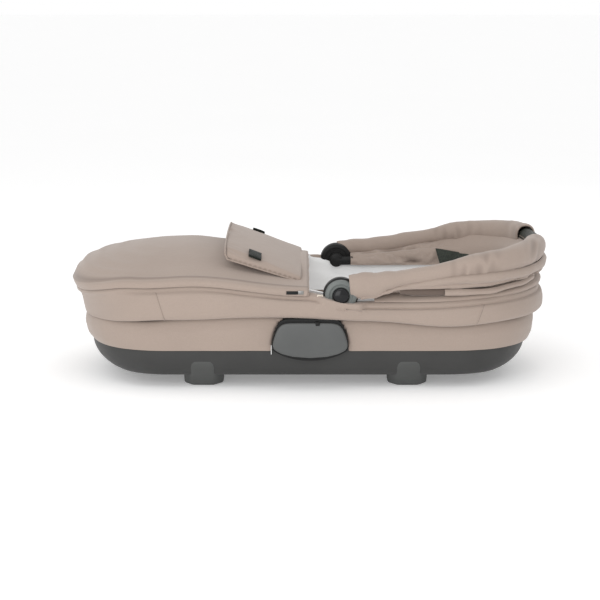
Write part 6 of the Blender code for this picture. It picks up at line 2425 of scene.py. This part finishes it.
@dataclass
class FoldLayers:
    """The canopy's outer layers that hang folded under the handle, on one side, with a near-black sheet
    behind them that is painted shade.
    """

    side: float
    name: str
    upper: tuple = (
        (0.0860, 0.1700, 0.1588),
        (0.1080, 0.1730, 0.1606),
        (0.1301, 0.1790, 0.1690),
        (0.1522, 0.1860, 0.1768),
        (0.1658, 0.1870, 0.1782),
        (0.2303, 0.1910, 0.1784),
        (0.2980, 0.1975, 0.1802),
        (0.3560, 0.2060, 0.1868),
        (0.3800, 0.2100, 0.1915),
    )
    lower: tuple = (
        (0.2303, 0.1792, 0.1668),
        (0.2980, 0.1800, 0.1684),
        (0.3560, 0.1862, 0.1760),
        (0.3850, 0.1925, 0.1815),
    )

    inner: tuple = ((0.1540, 0.1800, 0.1700), (0.1800, 0.1800, 0.1660), (0.2400, 0.1800, 0.1668))

    def layer(self, label: str, table: tuple, out: float, finishes: Finishes, dark: float = 0.0) -> Piece:
        """One flattened layer, a little puffed, with its lower edge rolled in."""
        line = FRONT_BOW.line(1800)
        line = line[(line[:, 1] < -0.02) & (line[:, 0] >= table[0][0]) & (line[:, 0] <= table[-1][0])]
        line = line[np.argsort(line[:, 0])][:: max(1, len(line) // 150)]
        _, side, _ = frame_of(line)
        side = side * np.sign(-side[:, 1:2])
        side = -side if float((side * line).sum()) < 0 else side
        top = along([(x, high) for x, high, _ in table], line[:, 0])
        low = along([(x, deep) for x, _, deep in table], line[:, 0])
        rows = []
        for share in np.linspace(0.0, 1.0, 22):
            puff = out + 0.0045 * math.sin(math.pi * share) ** 0.8 - 0.006 * max(0.0, share - 0.86) / 0.14
            z = top + (low - top) * share
            rows.append(np.concatenate([(line + side * puff)[:, :2], z[:, None]], axis=1))
        points = np.stack(rows, axis=0)
        sheet = Sheet(points)
        if float((sheet.normals() * side[None]).sum()) < 0:
            sheet = Sheet(points[::-1])
        amount = 0.0013 * rumple(sheet.points, (16, 16, 40), 9.2) + 0.0007 * rumple(
            sheet.points, (50, 30, 90), 3.6
        )
        sheet = sheet.push(amount)
        if self.side > 0:
            mirrored = sheet.points * (1, -1, 1)
            sheet = Sheet(mirrored[:, ::-1])
        piece = sheet.build(f"fold_layer_{label}_{self.name}", finishes.taupe, HOOD_CLOTH)
        paint_crease_shade(piece, dark)
        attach(piece, Body.REAR.value)
        span = table[-1][0] - table[0][0]
        max(0.012, sheet.area() / span)
        return piece

    def make(self, finishes: Finishes) -> list[Piece]:
        """Builds the two layers and the near-black inner sheet, painted shade in the gap between them."""
        return [
            self.layer("upper", self.upper, 0.0045, finishes),
            self.layer("lower", self.lower, 0.0065, finishes),
            # The inner sheet is darkened almost to black: painted shade seen in the gap between the layers.
            self.layer("inner", self.inner, 0.0028, finishes, 0.95),
        ]


@dataclass
class TwistedRim:
    """The far rim's cloth, twisted between the apron and the hub; the near side's band lies flat."""

    start: float = -0.010
    end: float = 0.040
    columns: int = 60

    def make(self, finishes: Finishes) -> list[Piece]:
        """Builds the far roll."""
        x = np.linspace(self.start, self.end, self.columns)
        place, _, _ = RIM.outline(1600)
        far = place[place[:, 1] > 0.1]
        order = np.argsort(far[:, 0])
        y = np.interp(x, far[order, 0], far[order, 1])
        line = np.stack([x, y + 0.001, RIM.height(x) + 0.0035], axis=1)
        size = 0.0098 + 0.0022 * np.sin(np.linspace(0, math.pi, self.columns)) ** 0.5
        sheet = sweep(line, size, size * 1.05, 45)
        angle = np.linspace(0, 2 * math.pi, sheet.points.shape[0])[:, None]
        twist = np.sin(2 * angle + (sheet.points[..., 0] - x[0]) * 150.0)
        sheet = sheet.push(0.0016 * twist + 0.0006 * rumple(sheet.points, (60, 60, 60), 4.5))
        piece = sheet.build("twisted_rim_cloth", finishes.taupe)
        close_ends(piece)
        weld(piece)
        face_out(piece)
        paint_crease_shade(piece)
        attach(piece, Body.RIM.value)
        return [piece]


@dataclass
class Hardware:
    """Every hard piece that is modelled here, and the canopy's loose layers."""

    def make(self, finishes: Finishes) -> list[Piece]:
        """Builds the tub, brackets, hubs, zip ends, canopy and layers."""
        made = Tub().make(finishes) + Canopy().make(finishes) + TwistedRim().make(finishes)
        for side, name in ((-1.0, "near"), (1.0, "far")):
            made += Hub(side, name).make(finishes)
            made += Bracket(side, name).make(finishes)
            made += ZipEnd(side, name).make(finishes)
            made += FoldLayers(side, name).make(finishes)
        return made


def dress_cad_nodes(finishes: Finishes) -> None:
    """Gives each CAD node the material of its slot."""
    for part in frame["record"]["subparts"]:
        node = frame["nodes"][part["node"]]
        material = finishes.for_slot(part["material_slot"])
        if part["node"].startswith("foot_") and "screw" not in part["node"]:
            material = finishes.feet
        node.data.materials.clear()
        node.data.materials.append(material)


def main() -> None:
    """Builds the room, the materials and every piece."""
    logging.basicConfig(level=logging.INFO, format="%(name)s: %(message)s")
    Studio().make()
    View().make()
    finishes = Finishes()
    dress_cad_nodes(finishes)
    for part in (Walls(), Apron(), WindFlap(), Mattress(), Hood(), Hardware()):
        LOG.info("%s: %d pieces", type(part).__name__, len(part.make(finishes)))


if __name__ == "__main__":
    main()
